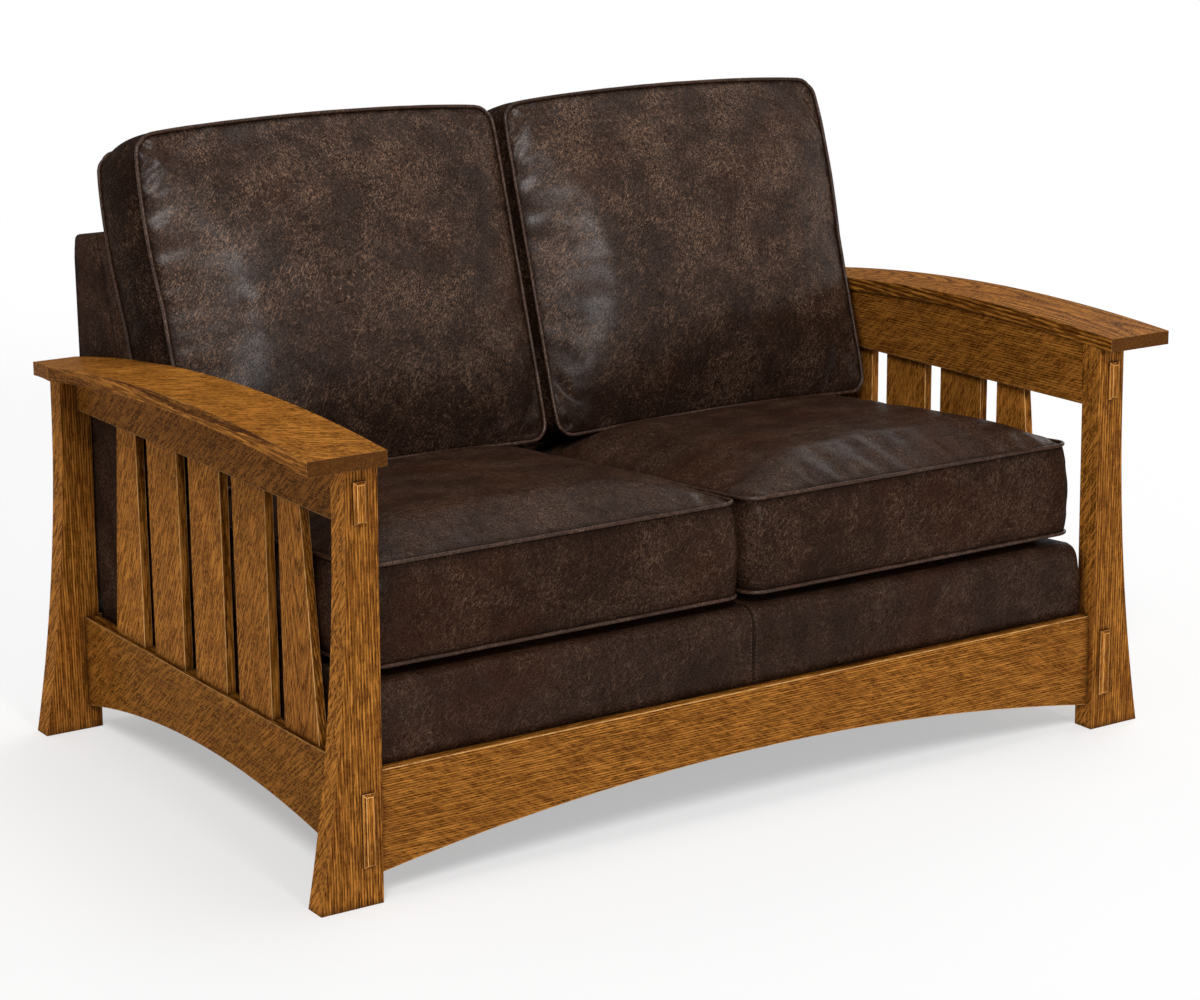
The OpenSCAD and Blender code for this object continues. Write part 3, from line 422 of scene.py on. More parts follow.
for stretch, names in (
    ((260, 260, 9), ("arm_dowels", "back_left_post", "back_right_post")),
    ((9, 260, 260), ("seat_front_rail", "seat_rear_rail", "back_top_rail", "back_bottom_rail",
                     "back_base_rail")),
    ((260, 9, 260), ("cleats", "seat_left_rail", "seat_right_rail")),
):
    for name in names:
        sawn, tree, shader = new_material("hardwood_" + name)
        fibre = streaky(tree, wire(tree, "TexCoord").outputs["Object"], stretch, detail=4, rough=0.6)
        color = tinted(tree, spread(tree, fibre, 0.3, 0.7), (0.62, 0.46, 0.27), (0.44, 0.29, 0.14))
        roughness = work_out(tree, "MULTIPLY_ADD", fibre, 0.25, 0.5)
        surface(tree, shader, color, roughness, fibre, 0.3, 0.0004)
        clad(sawn, name)

# Springs, clips and screws: drawn and pressed steel, dull with a trace of brown in the hollows.
# The springs hang in their clips on the rails, and the screws hold the cleats.
steel, tree, shader = new_material("spring_steel")
mill = cloudy(tree, wire(tree, "TexCoord").outputs["Object"], scale=180, detail=4, rough=0.6)
color = tinted(tree, spread(tree, mill, 0.35, 0.7), (0.46, 0.46, 0.47), (0.23, 0.19, 0.16))
roughness = work_out(tree, "MULTIPLY_ADD", mill, 0.35, 0.22)
surface(tree, shader, color, roughness, mill, 0.2, 0.0002)
shader.inputs["Metallic"].default_value = 1.0
clad(steel, "seat_springs_set", "back_springs_set", "spring_clips", "cleat_screws")


# Burlap over the springs, the cotton pads, the foam cores and the black dust cover underneath:
# all hidden inside, or seen only from below.
def woven(name, warp, weft, gap, rough):
    """Plain cloth: threads over and under each other, a gap apart."""
    cloth, tree, shader = new_material(name)
    place = wire(tree, "SeparateXYZ", {0: wire(tree, "TexCoord").outputs["Object"]}).outputs
    over, under = (work_out(tree, "SINE", times(tree, place[axis], 2 * math.pi / gap))
                   for axis in ("X", "Y"))
    weave = work_out(tree, "MULTIPLY_ADD", times(tree, over, under), 0.5, 0.5)
    surface(tree, shader, tinted(tree, weave, warp, weft), rough, weave, 0.4, 0.0004)
    return cloth


def stuffed(name, pale, deep, cell, rough):
    """Foam or cotton: fine cells with slow changes of colour."""
    stuff, tree, shader = new_material(name)
    place = wire(tree, "TexCoord").outputs["Object"]
    cells = wire(tree, "TexVoronoi", {"Vector": place, "Scale": 1 / cell}).outputs["Distance"]
    color = tinted(tree, cloudy(tree, place, scale=14, detail=3), pale, deep)
    color = tinted(tree, spread(tree, cells, 0.2, 0.8, 0.0, 0.4), color, deep)
    surface(tree, shader, color, rough, cells, 0.4, 0.001)
    return stuff


clad(woven("burlap", (0.46, 0.35, 0.19), (0.30, 0.21, 0.10), 0.0028, 0.95), "burlap_sheet")
clad(woven("cambric", (0.022, 0.022, 0.024), (0.010, 0.010, 0.012), 0.0016, 0.9), "dust_cover")
clad(stuffed("cotton_padding", (0.76, 0.73, 0.66), (0.60, 0.56, 0.48), 0.006, 0.98),
     "deck_pad", "back_padding")
clad(stuffed("foam", (0.80, 0.72, 0.48), (0.62, 0.52, 0.30), 0.0018, 0.9),
     "seat_left_core", "seat_right_core", "back_left_core", "back_right_core")

# Leather: thick dark brown hide with a worn, waxed face. It is mottled with reddish and near-black
# clouds, finely speckled, and crazed with pale broken cracks and hair lines where it has been bent.
HIDE = (0.0140, 0.0066, 0.0041)
HIDE_CLOUD = (0.0220, 0.0106, 0.0065)
HIDE_RUST = (0.0280, 0.0092, 0.0040)
HIDE_DARK = (0.0070, 0.0034, 0.0026)
SPECKLE = (0.062, 0.031, 0.018)
HIDE_PORE = (0.0040, 0.0018, 0.0012)
HAIR_LINE = (0.175, 0.100, 0.064)
CRACK = (0.190, 0.112, 0.072)
# Darkening where points are marked seam: painted shade in the grooves by seams and rims, at the deck
# band's foot and low on the back cushions' fronts, and a darker rear on the seat cushions
PAINTED_SHADE_AND_SOIL = (0.006, 0.0035, 0.0030)
WAX_GLOW = (1.0, 0.95, 0.91, 1)


def crazing(tree, place, scale, width, warp):
    """Thin broken lines between cells, wandering by a warp."""
    drift = cloudy(tree, place, scale=scale * 0.9, detail=3, rough=0.6, output="Color")
    drift = wire(tree, "VectorMath", {0: drift, 1: (warp, warp, warp), 2: place},
                 operation="MULTIPLY_ADD").outputs[0]
    cells = wire(tree, "TexVoronoi", {"Vector": drift, "Scale": scale},
                 feature="DISTANCE_TO_EDGE").outputs["Distance"]
    return spread(tree, cells, 0.0, width, 1.0, 0.0)


def hair_lines(tree, place, angles, stretch):
    """Fine pale scratches that run one way."""
    turned = wire(tree, "VectorRotate", {"Vector": place, "Rotation": angles},
                  rotation_type="EULER_XYZ").outputs[0]
    return spread(tree, streaky(tree, turned, stretch, detail=1), 0.59, 0.70)


def build_hide(tree):
    """Clouds, speckle, hair lines, cracks, soiling and wax of the hide."""
    given = tree.nodes.new("NodeGroupInput").outputs
    place, cracked, seam, rubbed_and_sheen = (given[name] for name in ("Place", "Creases", "Seam", "Rubbed and sheen"))
    elsewhere = arrow(tree, "ADD", place, (4.1, 2.3, 7.7))
    clouds = cloudy(tree, place, scale=9, detail=5, rough=0.62)
    mottle = cloudy(tree, place, scale=42, detail=4, rough=0.65)
    speckle = cloudy(tree, place, scale=430, rough=0.7)
    rust = cloudy(tree, elsewhere, scale=5.5, detail=4, rough=0.6)
    bent = cloudy(tree, elsewhere, scale=13, detail=4, rough=0.65)
    color = tinted(tree, spread(tree, clouds, 0.32, 0.68), HIDE, HIDE_CLOUD)
    color = tinted(tree, spread(tree, rust, 0.48, 0.66, 0.0, 0.6), color, HIDE_RUST)
    color = tinted(tree, spread(tree, mottle, 0.50, 0.28, 0.0, 0.4), color, HIDE_DARK)
    worn = work_out(tree, "MULTIPLY_ADD", times(tree, cracked, 0.24), spread(tree, bent, 0.34, 0.68), 0.10)
    color = tinted(tree, times(tree, worn, spread(tree, speckle, 0.44, 0.62)), color, SPECKLE)
    color = tinted(tree, spread(tree, speckle, 0.50, 0.38, 0.0, 0.5), color, HIDE_PORE)
    hairs = work_out(tree, "MAXIMUM", hair_lines(tree, place, (0.6, 0.9, 0.4), (90, 520, 520)),
                     hair_lines(tree, place, (-0.7, 0.3, 1.2), (110, 560, 560)))
    hairs = times(tree, hairs, spread(tree, bent, 0.38, 0.64, 0.25, 1.0))
    color = tinted(tree, times(tree, hairs, cracked), color, HAIR_LINE)
    net = work_out(tree, "MAXIMUM", crazing(tree, place, 105, 0.060, 0.016),
                   times(tree, crazing(tree, elsewhere, 210, 0.100, 0.008), 0.7))
    net = times(tree, net, spread(tree, bent, 0.44, 0.66, 0.10, 0.8))
    cracks = work_out(tree, "MAXIMUM", crazing(tree, place, 46, 0.030, 0.040),
                      times(tree, crazing(tree, place, 17, 0.012, 0.08), 0.8))
    cracks = times(tree, cracks, spread(tree, clouds, 0.46, 0.62))
    cracks = times(tree, work_out(tree, "MAXIMUM", cracks, times(tree, net, 0.7)), cracked)
    cracks = times(tree, cracks, spread(tree, cloudy(tree, elsewhere, scale=150), 0.40, 0.56))
    color = tinted(tree, cracks, color, CRACK)
    # Painted shade: the hide darkens where its points are marked seam, by seams and rims, at the deck
    # band's foot and low on the back cushions' fronts; the seats darken towards the rear
    color = tinted(tree, times(tree, seam, 0.7), color, PAINTED_SHADE_AND_SOIL)
    # Painted sheen: the cushions' shown panels are painted lighter, partly for wear and partly as a
    # painted sheen, and waxed glossier
    shade = times(tree, given["Shade"], work_out(tree, "MULTIPLY_ADD", rubbed_and_sheen, 0.45, 1.0))
    wax = work_out(tree, "MULTIPLY_ADD", spread(tree, speckle, 0.38, 0.62), 0.18, 0.16)
    wax = times(tree, wax, spread(tree, mottle, 0.34, 0.66, 0.75, 1.20))
    wax = times(tree, wax, work_out(tree, "MULTIPLY_ADD", seam, -0.8, 1.0))
    wax = times(tree, wax, work_out(tree, "ADD", rubbed_and_sheen, given["Polish"]))
    grain = wire(tree, "TexVoronoi", {"Vector": place, "Scale": 420.0}).outputs["Distance"]
    height = work_out(tree, "MULTIPLY_ADD", grain, 0.45, times(tree, speckle, 0.5))
    height = work_out(tree, "MULTIPLY_ADD", cracks, -0.7, height)
    height = work_out(tree, "MULTIPLY_ADD", mottle, 1.2, height)
    out = tree.nodes.new("NodeGroupOutput").inputs
    feed(tree, out["Color"], scaled(tree, color, shade))
    feed(tree, out["Roughness"], work_out(tree, "MULTIPLY_ADD", clouds, 0.2, 0.5))
    feed(tree, out["Wax"], wax)
    feed(tree, out["Height"], height)


worn_hide = new_group("worn_hide", ("Place",),
                      {"Shade": 1.0, "Creases": 1.0, "Polish": 1.0, "Seam": 0.0, "Rubbed and sheen": 0.0},
                      ("Roughness", "Wax", "Height"))
build_hide(worn_hide)


def hide(name, offset, shade=1.0, creases=1.0, polish=0.15):
    """The hide on one piece, cut from its own part of the skin. It is darker where the piece's points are
    marked seam, mostly as painted shade, and lighter and glossier on the cushions' shown panels, for wear
    and as a painted sheen."""
    material, tree, shader = new_material(name)
    place = wire(tree, "TexCoord").outputs["Object"]
    given = {"Place": wire(tree, "Mapping", {"Vector": place, "Location": offset}).outputs[0],
             "Seam": wire(tree, "Attribute", attribute_name="seam").outputs["Fac"],
             "Rubbed and sheen": wire(tree, "Attribute", attribute_name="rubbed_and_sheen").outputs["Fac"],
             "Shade": shade, "Creases": creases, "Polish": polish}
    made = wire(tree, "Group", given, node_tree=worn_hide).outputs
    surface(tree, shader, made["Color"], made["Roughness"], made["Height"], 0.7, 0.0010)
    feed(tree, shader.inputs["Coat Weight"], made["Wax"])
    shader.inputs["Specular IOR Level"].default_value = 0.0
    shader.inputs["Coat Roughness"].default_value = 0.33
    shader.inputs["Coat Tint"].default_value = WAX_GLOW
    return material


# Deck: the sprung seat under the cushions. Hide is drawn over a cotton pad, rounded over the front
# edge and tacked down behind the apron. The front band is joined by a topstitched seam.
DECK_PITCH = math.radians(4)
RECLINE = math.radians(17.2)
DECK_FRONT = (-0.430, 0.300)
BAND_ROUND = 0.028
BAND_BEVEL = BAND_ROUND * 0.94
BAND_HEIGHT = 0.10
BAND_SEAM = 0.0028
BAND_FOOT_SHADOW = 0.006
SEAM_DARKNESS = 0.9
SEAM_CUTS = (-0.012, -0.007, -0.004, -0.002, 0.0, 0.002, 0.004, 0.007, 0.012)
END_ROUND = 0.012
STITCH = 0.0036
STITCH_OFF = 0.0052
lean = math.tan(RECLINE)
deck_low, deck_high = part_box("deck_cover")
apron_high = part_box("front_apron")[1]
band_foot = apron_high.z + 0.0004
behind_apron = apron_high.y + 0.0006
deck_foot = deck_low.z + 0.002


def place_piece(name, mesh, material, body):
    """Makes a smooth-shaded piece of a finished bmesh, and lets it ride on a body."""
    bmesh.ops.recalc_face_normals(mesh, faces=mesh.faces[:])
    if mesh.calc_volume(signed=True) < 0:
        bmesh.ops.reverse_faces(mesh, faces=mesh.faces[:])
    piece = new_object(name, mesh)
    piece.data.materials.append(material)
    piece.data.polygons.foreach_set("use_smooth", [True] * len(piece.data.polygons))
    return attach(piece, body)


def prism(outline, low, high):
    """A closed bmesh: an outline of (y, z) places, drawn out along X from low to high."""
    mesh = bmesh.new()
    face = mesh.faces.new([mesh.verts.new((low, y, z)) for y, z in outline])
    drawn = bmesh.ops.extrude_face_region(mesh, geom=[face])["geom"]
    far_end = [part for part in drawn if isinstance(part, bmesh.types.BMVert)]
    bmesh.ops.translate(mesh, verts=far_end, vec=(high - low, 0, 0))
    bmesh.ops.recalc_face_normals(mesh, faces=mesh.faces[:])
    return mesh


def round_off(mesh, test, radius, segments):
    """Rounds the edges for which a test holds."""
    bmesh.ops.bevel(mesh, geom=[e for e in mesh.edges if test(e)], offset=radius,
                    offset_type="OFFSET", segments=segments, profile=0.5, affect="EDGES", material=-1)


def in_end(edge):
    """True for an edge in one of a prism's two ends."""
    return abs(edge.verts[0].co.x - edge.verts[1].co.x) < 1e-5


def cut(mesh, place, normal):
    """Cuts the faces of a mesh along a plane."""
    bmesh.ops.bisect_plane(mesh, geom=mesh.verts[:] + mesh.edges[:] + mesh.faces[:], dist=1e-6,
                           plane_co=place, plane_no=normal)


def slice_up(mesh, axis, places):
    """Cuts a mesh along planes square to one axis."""
    normal = Vector([1.0 if k == axis else 0.0 for k in range(3)])
    for place in places:
        cut(mesh, normal * place, normal)


def steps(start, stop, count):
    """Evenly spaced places between two ends, the ends left out."""
    return [start + (stop - start) * k / count for k in range(1, count)]


def hump(distance, width):
    """1 at a line, fading to nothing a few widths away from it."""
    return math.exp(-(distance / width) ** 2)


def mark_points(piece, mark, shares):
    """Stores a share for each point: seam darkens the hide there, mostly as painted shade, and the other
    mark lightens and polishes it, for wear and as a painted sheen.
    """
    layer = piece.data.attributes.new(mark, "FLOAT", "POINT")
    layer.data.foreach_set("value", shares)


def deck_top(y):
    """Height of the deck's sloping top."""
    return DECK_FRONT[1] - (y - DECK_FRONT[0]) * math.tan(DECK_PITCH)


def is_front_edge(edge):
    """True for the long upper edge of the front band."""
    return all(abs(v.co.y - deck_low.y) < 1e-5 and v.co.z > band_foot + 0.05 for v in edge.verts)


def is_deck_end(edge):
    """True for the edges of the ends above the apron, but not for those of the band itself."""
    heights = [v.co.z for v in edge.verts]
    return (in_end(edge) and min(heights) > band_foot - 1e-4
            and not all(abs(z - band_foot) < 1e-4 for z in heights)
            and not all(v.co.y < deck_low.y + 1e-4 for v in edge.verts))


meet_y, meet_z = deck_high.y - 0.0003, deck_top(deck_high.y)
foot_y = meet_y - (meet_z - deck_low.z) * lean
mesh = prism(((deck_low.y, band_foot), (deck_low.y, deck_top(deck_low.y)), (meet_y, meet_z),
              (foot_y, deck_foot), (behind_apron, deck_foot), (behind_apron, band_foot)),
             deck_low.x, deck_high.x)
round_off(mesh, is_front_edge, BAND_BEVEL, 8)
round_off(mesh, is_deck_end, END_ROUND, 4)
slice_up(mesh, 0, [x for x in steps(deck_low.x, deck_high.x, 90) if abs(x) > 0.014])
slice_up(mesh, 0, SEAM_CUTS)
slice_up(mesh, 1, steps(deck_low.y + 0.03, meet_y, 36))
slice_up(mesh, 2, steps(band_foot, 0.275, 8))
bmesh.ops.triangulate(mesh, faces=[f for f in mesh.faces if len(f.verts) > 4])
# Painted shade: the shares stored as seam darken the hide along the band's middle seam and at the band's
# foot on the apron
shade_and_soil = []
for vertex in mesh.verts:
    x, y, z = vertex.co
    on_band = z > band_foot + 1e-4 and y < deck_low.y + 0.05
    seam = hump(x, BAND_SEAM) if on_band else 0.0
    foot_shadow = hump(z - band_foot, BAND_FOOT_SHADOW) if on_band else 0.0
    shade_and_soil.append(min(1.0, SEAM_DARKNESS * (seam + foot_shadow)))
    if on_band and y < deck_low.y + 0.03:
        rise = max(0.0, min(1.0, (z - band_foot) / BAND_HEIGHT))
        swell = 0.0032 * math.sin(math.pi * min(1.0, rise * 0.9)) * (1 - hump(x, 0.035))
        drape = 0.0016 * noise.noise(Vector((x * 9, z * 16, 3.1)))
        vertex.co.y -= swell + drape - 0.0020 * seam
    elif z > band_foot + 0.02:
        vertex.co.z -= 0.0016 * seam
deck_hide = hide("hide_deck", (0.3, 1.1, 0.2), creases=0.3, polish=0.5)
deck = place_piece("deck_upholstery", mesh, deck_hide, "frame")
mark_points(deck, "seam", shade_and_soil)
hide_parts("deck_cover", "deck_pad")


def stitch_row(mesh, skin, starts, aim):
    """Short thread stitches laid on a skin, along the line where rays from starts meet it."""
    hits = [skin.ray_cast(Vector(start), Vector(aim(start))) for start in starts]
    hits = [hit for hit in hits if hit[0] is not None]
    for one, other in zip(hits[::2], hits[1::2]):
        run = (other[0] - one[0]).normalized()
        out = one[1] if one[1].dot(Vector(aim(one[0]))) < 0 else -one[1]
        turn = Matrix((run, out.cross(run), out)).transposed().to_4x4()
        turn.translation = (one[0] + other[0]) / 2 + out * 0.00012
        shape = Matrix.Diagonal((STITCH / 2, 0.00055, 0.00050, 1))
        bmesh.ops.create_uvsphere(mesh, u_segments=6, v_segments=4, radius=1.0, matrix=turn @ shape)


thread, tree, shader = new_material("thread")
twist = wire(tree, "TexWave", {"Vector": wire(tree, "TexCoord").outputs["Object"], "Scale": 420.0},
             bands_direction="DIAGONAL").outputs["Fac"]
feed(tree, shader.inputs["Base Color"], tinted(tree, twist, (0.110, 0.070, 0.046), (0.050, 0.030, 0.020)))
shader.inputs["Roughness"].default_value = 0.6
shader.inputs["Specular IOR Level"].default_value = 0.2
deck_skin = BVHTree.FromObject(deck, bpy.context.evaluated_depsgraph_get())
hub = Vector((0, deck_low.y + BAND_ROUND + 0.002, deck_high.z - BAND_ROUND))
mesh = bmesh.new()
for x in (-STITCH_OFF, STITCH_OFF):
    straight = [(x, deck_low.y - 0.03, z) for z in steps(band_foot + 0.003, hub.z, 30)]
    stitch_row(mesh, deck_skin, straight, lambda start: (0, 1, 0))
    bend = [(x, hub.y - 0.06 * math.cos(a), hub.z + 0.06 * math.sin(a))
            for a in steps(0.0, math.pi / 2, 14)]
    stitch_row(mesh, deck_skin, bend, lambda start: (0, hub.y - start[1], hub.z - start[2]))
stitches = place_piece("deck_topstitching", mesh, thread, "frame")

# Back: a wedge-shaped frame, padded and covered with hide. Its top edge is rounded, and a seam
# runs round each end, beside the reclined front.
BACK_FOOT = 0.119
TOP_SLOPE = math.tan(math.radians(9))
TOP_EDGE = 0.0165
REAR_EDGE = 0.008
END_EDGE = 0.007
END_SEAM = 0.032
END_SEAM_WIDTH = 0.0024
back_low, back_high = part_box("back_cover")
rear_apron_low, rear_apron_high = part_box("rear_apron")
before_apron = rear_apron_low.y - 0.0006
over_apron = rear_apron_high.z + 0.0006
rear_top = max(v.co.z for v in nodes["back_cover"].data.vertices if v.co.y > back_high.y - 1e-4)


def back_front(z):
    """Place of the back's reclined front at a height."""
    return meet_y + 0.0008 + (z - meet_z) * lean


def is_top_edge(edge):
    """True for the long edge where the reclined front meets the top."""
    return all(abs(v.co.z - top_z) < 1e-4 for v in edge.verts)


def is_rear_edge(edge):
    """True for the long edge where the top meets the upright rear."""
    return all(math.hypot(v.co.y - back_high.y, v.co.z - rear_top) < 1e-4 for v in edge.verts)


def is_back_end(edge):
    """True for the edges of the ends above the rear apron."""
    return in_end(edge) and all(v.co.z > over_apron + 0.001 for v in edge.verts)


top_z = (rear_top + TOP_SLOPE * (back_high.y - back_front(0.0))) / (1 + TOP_SLOPE * lean)
mesh = prism(((back_front(BACK_FOOT), BACK_FOOT), (back_front(top_z), top_z),
              (back_high.y, rear_top), (back_high.y, over_apron),
              (before_apron, over_apron), (before_apron, BACK_FOOT)), back_low.x, back_high.x)
round_off(mesh, is_top_edge, TOP_EDGE, 7)
round_off(mesh, is_rear_edge, REAR_EDGE, 3)
round_off(mesh, is_back_end, END_EDGE, 3)
slice_up(mesh, 0, steps(back_low.x, back_high.x, 70))
slice_up(mesh, 2, steps(0.2, 0.78, 36))
slice_up(mesh, 1, steps(0.20, 0.48, 14))
for shift in (-0.009, -0.006, -0.0035, -0.0018, 0.0, 0.0018, 0.0035, 0.006, 0.009):
    cut(mesh, (0, back_front(0.5) + END_SEAM + shift, 0.5), (0, 1, -lean))
bmesh.ops.triangulate(mesh, faces=[f for f in mesh.faces if len(f.verts) > 4])
# Painted shade: the shares stored as seam darken the hide in the groove of each end seam
shade_and_soil = []
for vertex in mesh.verts:
    x, y, z = vertex.co
    off_seam = (y - back_front(z) - END_SEAM) / END_SEAM_WIDTH
    seam = hump(off_seam, 1.0) if abs(x) > back_high.x - 0.0035 and z > 0.2 else 0.0
    shade_and_soil.append(SEAM_DARKNESS * seam)
    swell = 0.0018 * hump(abs(off_seam) - 3.2, 1.4) if seam > 1e-6 else 0.0
    vertex.co.x -= math.copysign(0.0007 * seam - swell, x)
back = place_piece("back_upholstery", mesh, hide("hide_back", (2.3, 0.1, 1.2), shade=1.3, creases=0.35),
                   "frame")
mark_points(back, "seam", shade_and_soil)
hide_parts("back_cover", "back_padding")

# Cushion covers: a top and a bottom panel of hide joined by a boxing, filled tight with foam in a soft
# wrap, so that the panels crown and the corners draw in. Each is filled by cloth simulation.
WELT_R = 0.003
WELT_OFF = (WELT_R + 0.0001) / math.sqrt(2)
WELT_REACH = WELT_OFF + WELT_R
WELT_SEAT = WELT_OFF - 0.0007
WELT_STEPS = 44
BELLY = 0.0065
CORNER_R = 0.026
# Half of a cushion's width, depth and height, roughly, for the folds and shadows by its seams
HALF_SPAN = 0.31
HALF_RUN = 0.29
HALF_BOXING = 0.07
FOLDS = 34
RIM_SHADOW = 0.0075
TOP_TRAVEL = 0.011
BOXING_TRAVEL = 0.004
UNDER_TRAVEL = 0.0015


def puff(piece, held, most, frames=20):
    """Fills a cover by cloth simulation: held points stay, and no point moves further than most."""
    rest = [v.co.copy() for v in piece.data.vertices]
    pins = piece.vertex_groups.new(name="held")
    for index, share in enumerate(held):
        if share > 0:
            pins.add([index], share, "REPLACE")
    cloth = piece.modifiers.new("fill", "CLOTH")
    rules = cloth.settings
    rules.quality = 6
    rules.mass = 0.4
    rules.tension_stiffness = 12
    rules.compression_stiffness = 12
    rules.shear_stiffness = 6
    rules.bending_stiffness = 0.8
    rules.vertex_group_mass = "held"
    rules.shrink_min = -0.012
    rules.shrink_max = -0.012
    rules.use_pressure = True
    rules.uniform_pressure_force = 4.0
    rules.effector_weights.gravity = 0
    cloth.collision_settings.use_collision = False
    cloth.point_cache.frame_end = frames
    for number in range(1, frames + 1):
        scene.frame_set(number)
    shown = piece.evaluated_get(bpy.context.evaluated_depsgraph_get())
    filled = [v.co.copy() for v in shown.data.vertices]
    piece.modifiers.remove(cloth)
    piece.vertex_groups.remove(pins)
    for vertex, before, after, limit in zip(piece.data.vertices, rest, filled, most):
        move = after - before
        if move.length > limit:
            move *= limit / move.length
        vertex.co = before + move
    scene.frame_set(1)


def refine(piece):
    """One subdivision, for a smooth skin."""
    smooth = piece.modifiers.new("smooth_skin", "SUBSURF")
    smooth.levels = 1
    smooth.render_levels = 1
    smooth.boundary_smooth = "PRESERVE_CORNERS"


def drawn_in(a, share):
    """The part of its width that a panel keeps at a place along it: less near the corners."""
    return 1 - share * abs(a) ** 12


def dome(u, v, power):
    """Share of the crown at a place on a panel."""
    return (1 - abs(u) ** power) * (1 - abs(v) ** power)


def between(foot, top, w):
    """A place between a cushion's lower and upper panel."""
    return (foot * (1 - w) + top * (1 + w)) / 2


def at_rim(a):
    """The sign of a place on a rim, or none inside it."""
    return 0.0 if abs(a) < 0.99999 else math.copysign(1.0, a)


def closer_to_ends(a):
    """Moves a place between -1 and 1 towards the nearer end, so that cells are finer there."""
    return 0.5 * a + 0.5 * math.sin(math.pi / 2 * a)


class CushionForm:
    """A cushion's shape: u runs outwards from the middle of the seat, v along the panels, and w
    from the hidden panel to the one that shows."""
    across = Vector((1, 0, 0))

    def __init__(self, sign):
        self.sign = sign
        self.turn = Matrix.Rotation(-self.TILT, 3, "X")

    def panel(self, u, v):
        """A place on a panel with drawn-in, rounded corners, and the outward direction of its rim."""
        across = self.HALF_W * u * drawn_in(v, self.PULL)
        along = self.HALF_D * v * drawn_in(u, self.PULL)
        over_w, over_d = abs(across) - (self.HALF_W - CORNER_R), abs(along) - (self.HALF_D - CORNER_R)
        if min(over_w, over_d) > 0:
            share = max(over_w, over_d) / math.hypot(over_w, over_d)
            over_w, over_d = over_w * share, over_d * share
            across = math.copysign(self.HALF_W - CORNER_R + over_w, across)
            along = math.copysign(self.HALF_D - CORNER_R + over_d, along)
        out = Vector((math.copysign(max(0.0, over_w), across), math.copysign(max(0.0, over_d), along)))
        return across, along, out.normalized()

    def belly(self, u, v, w):
        """How far the boxing swells out of the rims."""
        return BELLY * (1 - w * w) if at_rim(u) or at_rim(v) else 0.0

    def outward(self, u, v):
        """The direction out of the rim."""
        out = self.panel(u, v)[2]
        return self.across * out.x + self.along * out.y

    def place(self, spot):
        """A place on the loveseat for a place on the cushion."""
        spot = self.turn @ Vector((spot.x + self.MID_X, spot.y, spot.z))
        return Vector((self.sign * spot.x, spot.y + self.FOOT[0], spot.z + self.FOOT[1]))


def pucker(u, v, form, seed):
    """Short folds that run in from a panel's seam and die out."""
    from_side, from_end = (1 - abs(u)) * form.HALF_W, (1 - abs(v)) * HALF_RUN
    if from_side < from_end:
        fold = noise.noise(Vector((v * HALF_RUN * FOLDS, from_side * 7, seed + math.copysign(3, u))))
    else:
        fold = noise.noise(Vector((u * form.HALF_W * FOLDS, from_end * 7, seed + math.copysign(9, v))))
    depth = min(from_side, from_end)
    corner = math.exp(-(from_side + from_end) / 0.09)
    return fold * (0.0055 + 0.0080 * corner) * math.exp(-depth / 0.035) * min(1.0, depth / 0.012)


def box_cushion(name, form, cells, still, material, body, seed, cover_nodes):
    """A closed cover over a form, filled by cloth simulation. The rims and the still side of the
    boxing are held. form(u, v, w) gives the place of a point of a cube from -1 to 1."""
    mesh = bmesh.new()
    bmesh.ops.create_cube(mesh, size=2.0)
    for axis, count in enumerate(cells):
        along = [e for e in mesh.edges
                 if abs(e.verts[0].co[axis] - e.verts[1].co[axis]) > 0.1]
        bmesh.ops.subdivide_edges(mesh, edges=along, cuts=count - 1, use_grid_fill=True)
    mesh.verts.index_update()
    held, most, shade_and_soil, rims, rubbed_and_sheen = [], [], [], [], []
    for vertex in mesh.verts:
        u, v, w = (closer_to_ends(a) for a in vertex.co)
        rim_u, rim_v, rim_w = at_rim(u), at_rim(v), at_rim(w)
        spot = Vector(form(u, v, w))
        side = bool(rim_u or rim_v)
        on_rim = side and bool(rim_w)
        rims.append(on_rim)
        held.append(1.0 if on_rim or rim_v == still else 0.0)
        if on_rim:
            most.append(0.0)
        elif side:
            most.append(BOXING_TRAVEL)
        else:
            most.append(TOP_TRAVEL if rim_w > 0 else UNDER_TRAVEL)
        # Painted shade: the shares stored as seam darken the hide in a band by each rim and welt, and the
        # form adds its own darkening
        if rim_w:
            edge = min((1 - abs(u)) * HALF_SPAN, (1 - abs(v)) * HALF_RUN)
        else:
            edge = (1 - abs(w)) * HALF_BOXING
        shade_and_soil.append(max(hump(edge, RIM_SHADOW), form.darkening(v, w)))
        # The shown panel is painted lighter and waxed: wear, and a painted sheen
        rubbed_and_sheen.append(form.RUB_AND_SHEEN if rim_w > 0 and not on_rim else 0.0)
        if rim_w > 0 and not side:
            dent = noise.noise(spot * 11 + Vector((seed, 0, 0))) * 0.0016
            spot += form.lift * (dent + pucker(u, v, form, seed))
        vertex.co = form.place(spot)
    sharp = mesh.edges.layers.float.new("crease_edge")
    for edge in mesh.edges:
        if all(rims[v.index] for v in edge.verts):
            edge[sharp] = 1.0
    cover = place_piece(name, mesh, material, body)
    mark_points(cover, "seam", shade_and_soil)
    mark_points(cover, "rubbed_and_sheen", rubbed_and_sheen)
    puff(cover, held, most)
    refine(cover)
    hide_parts(*cover_nodes)


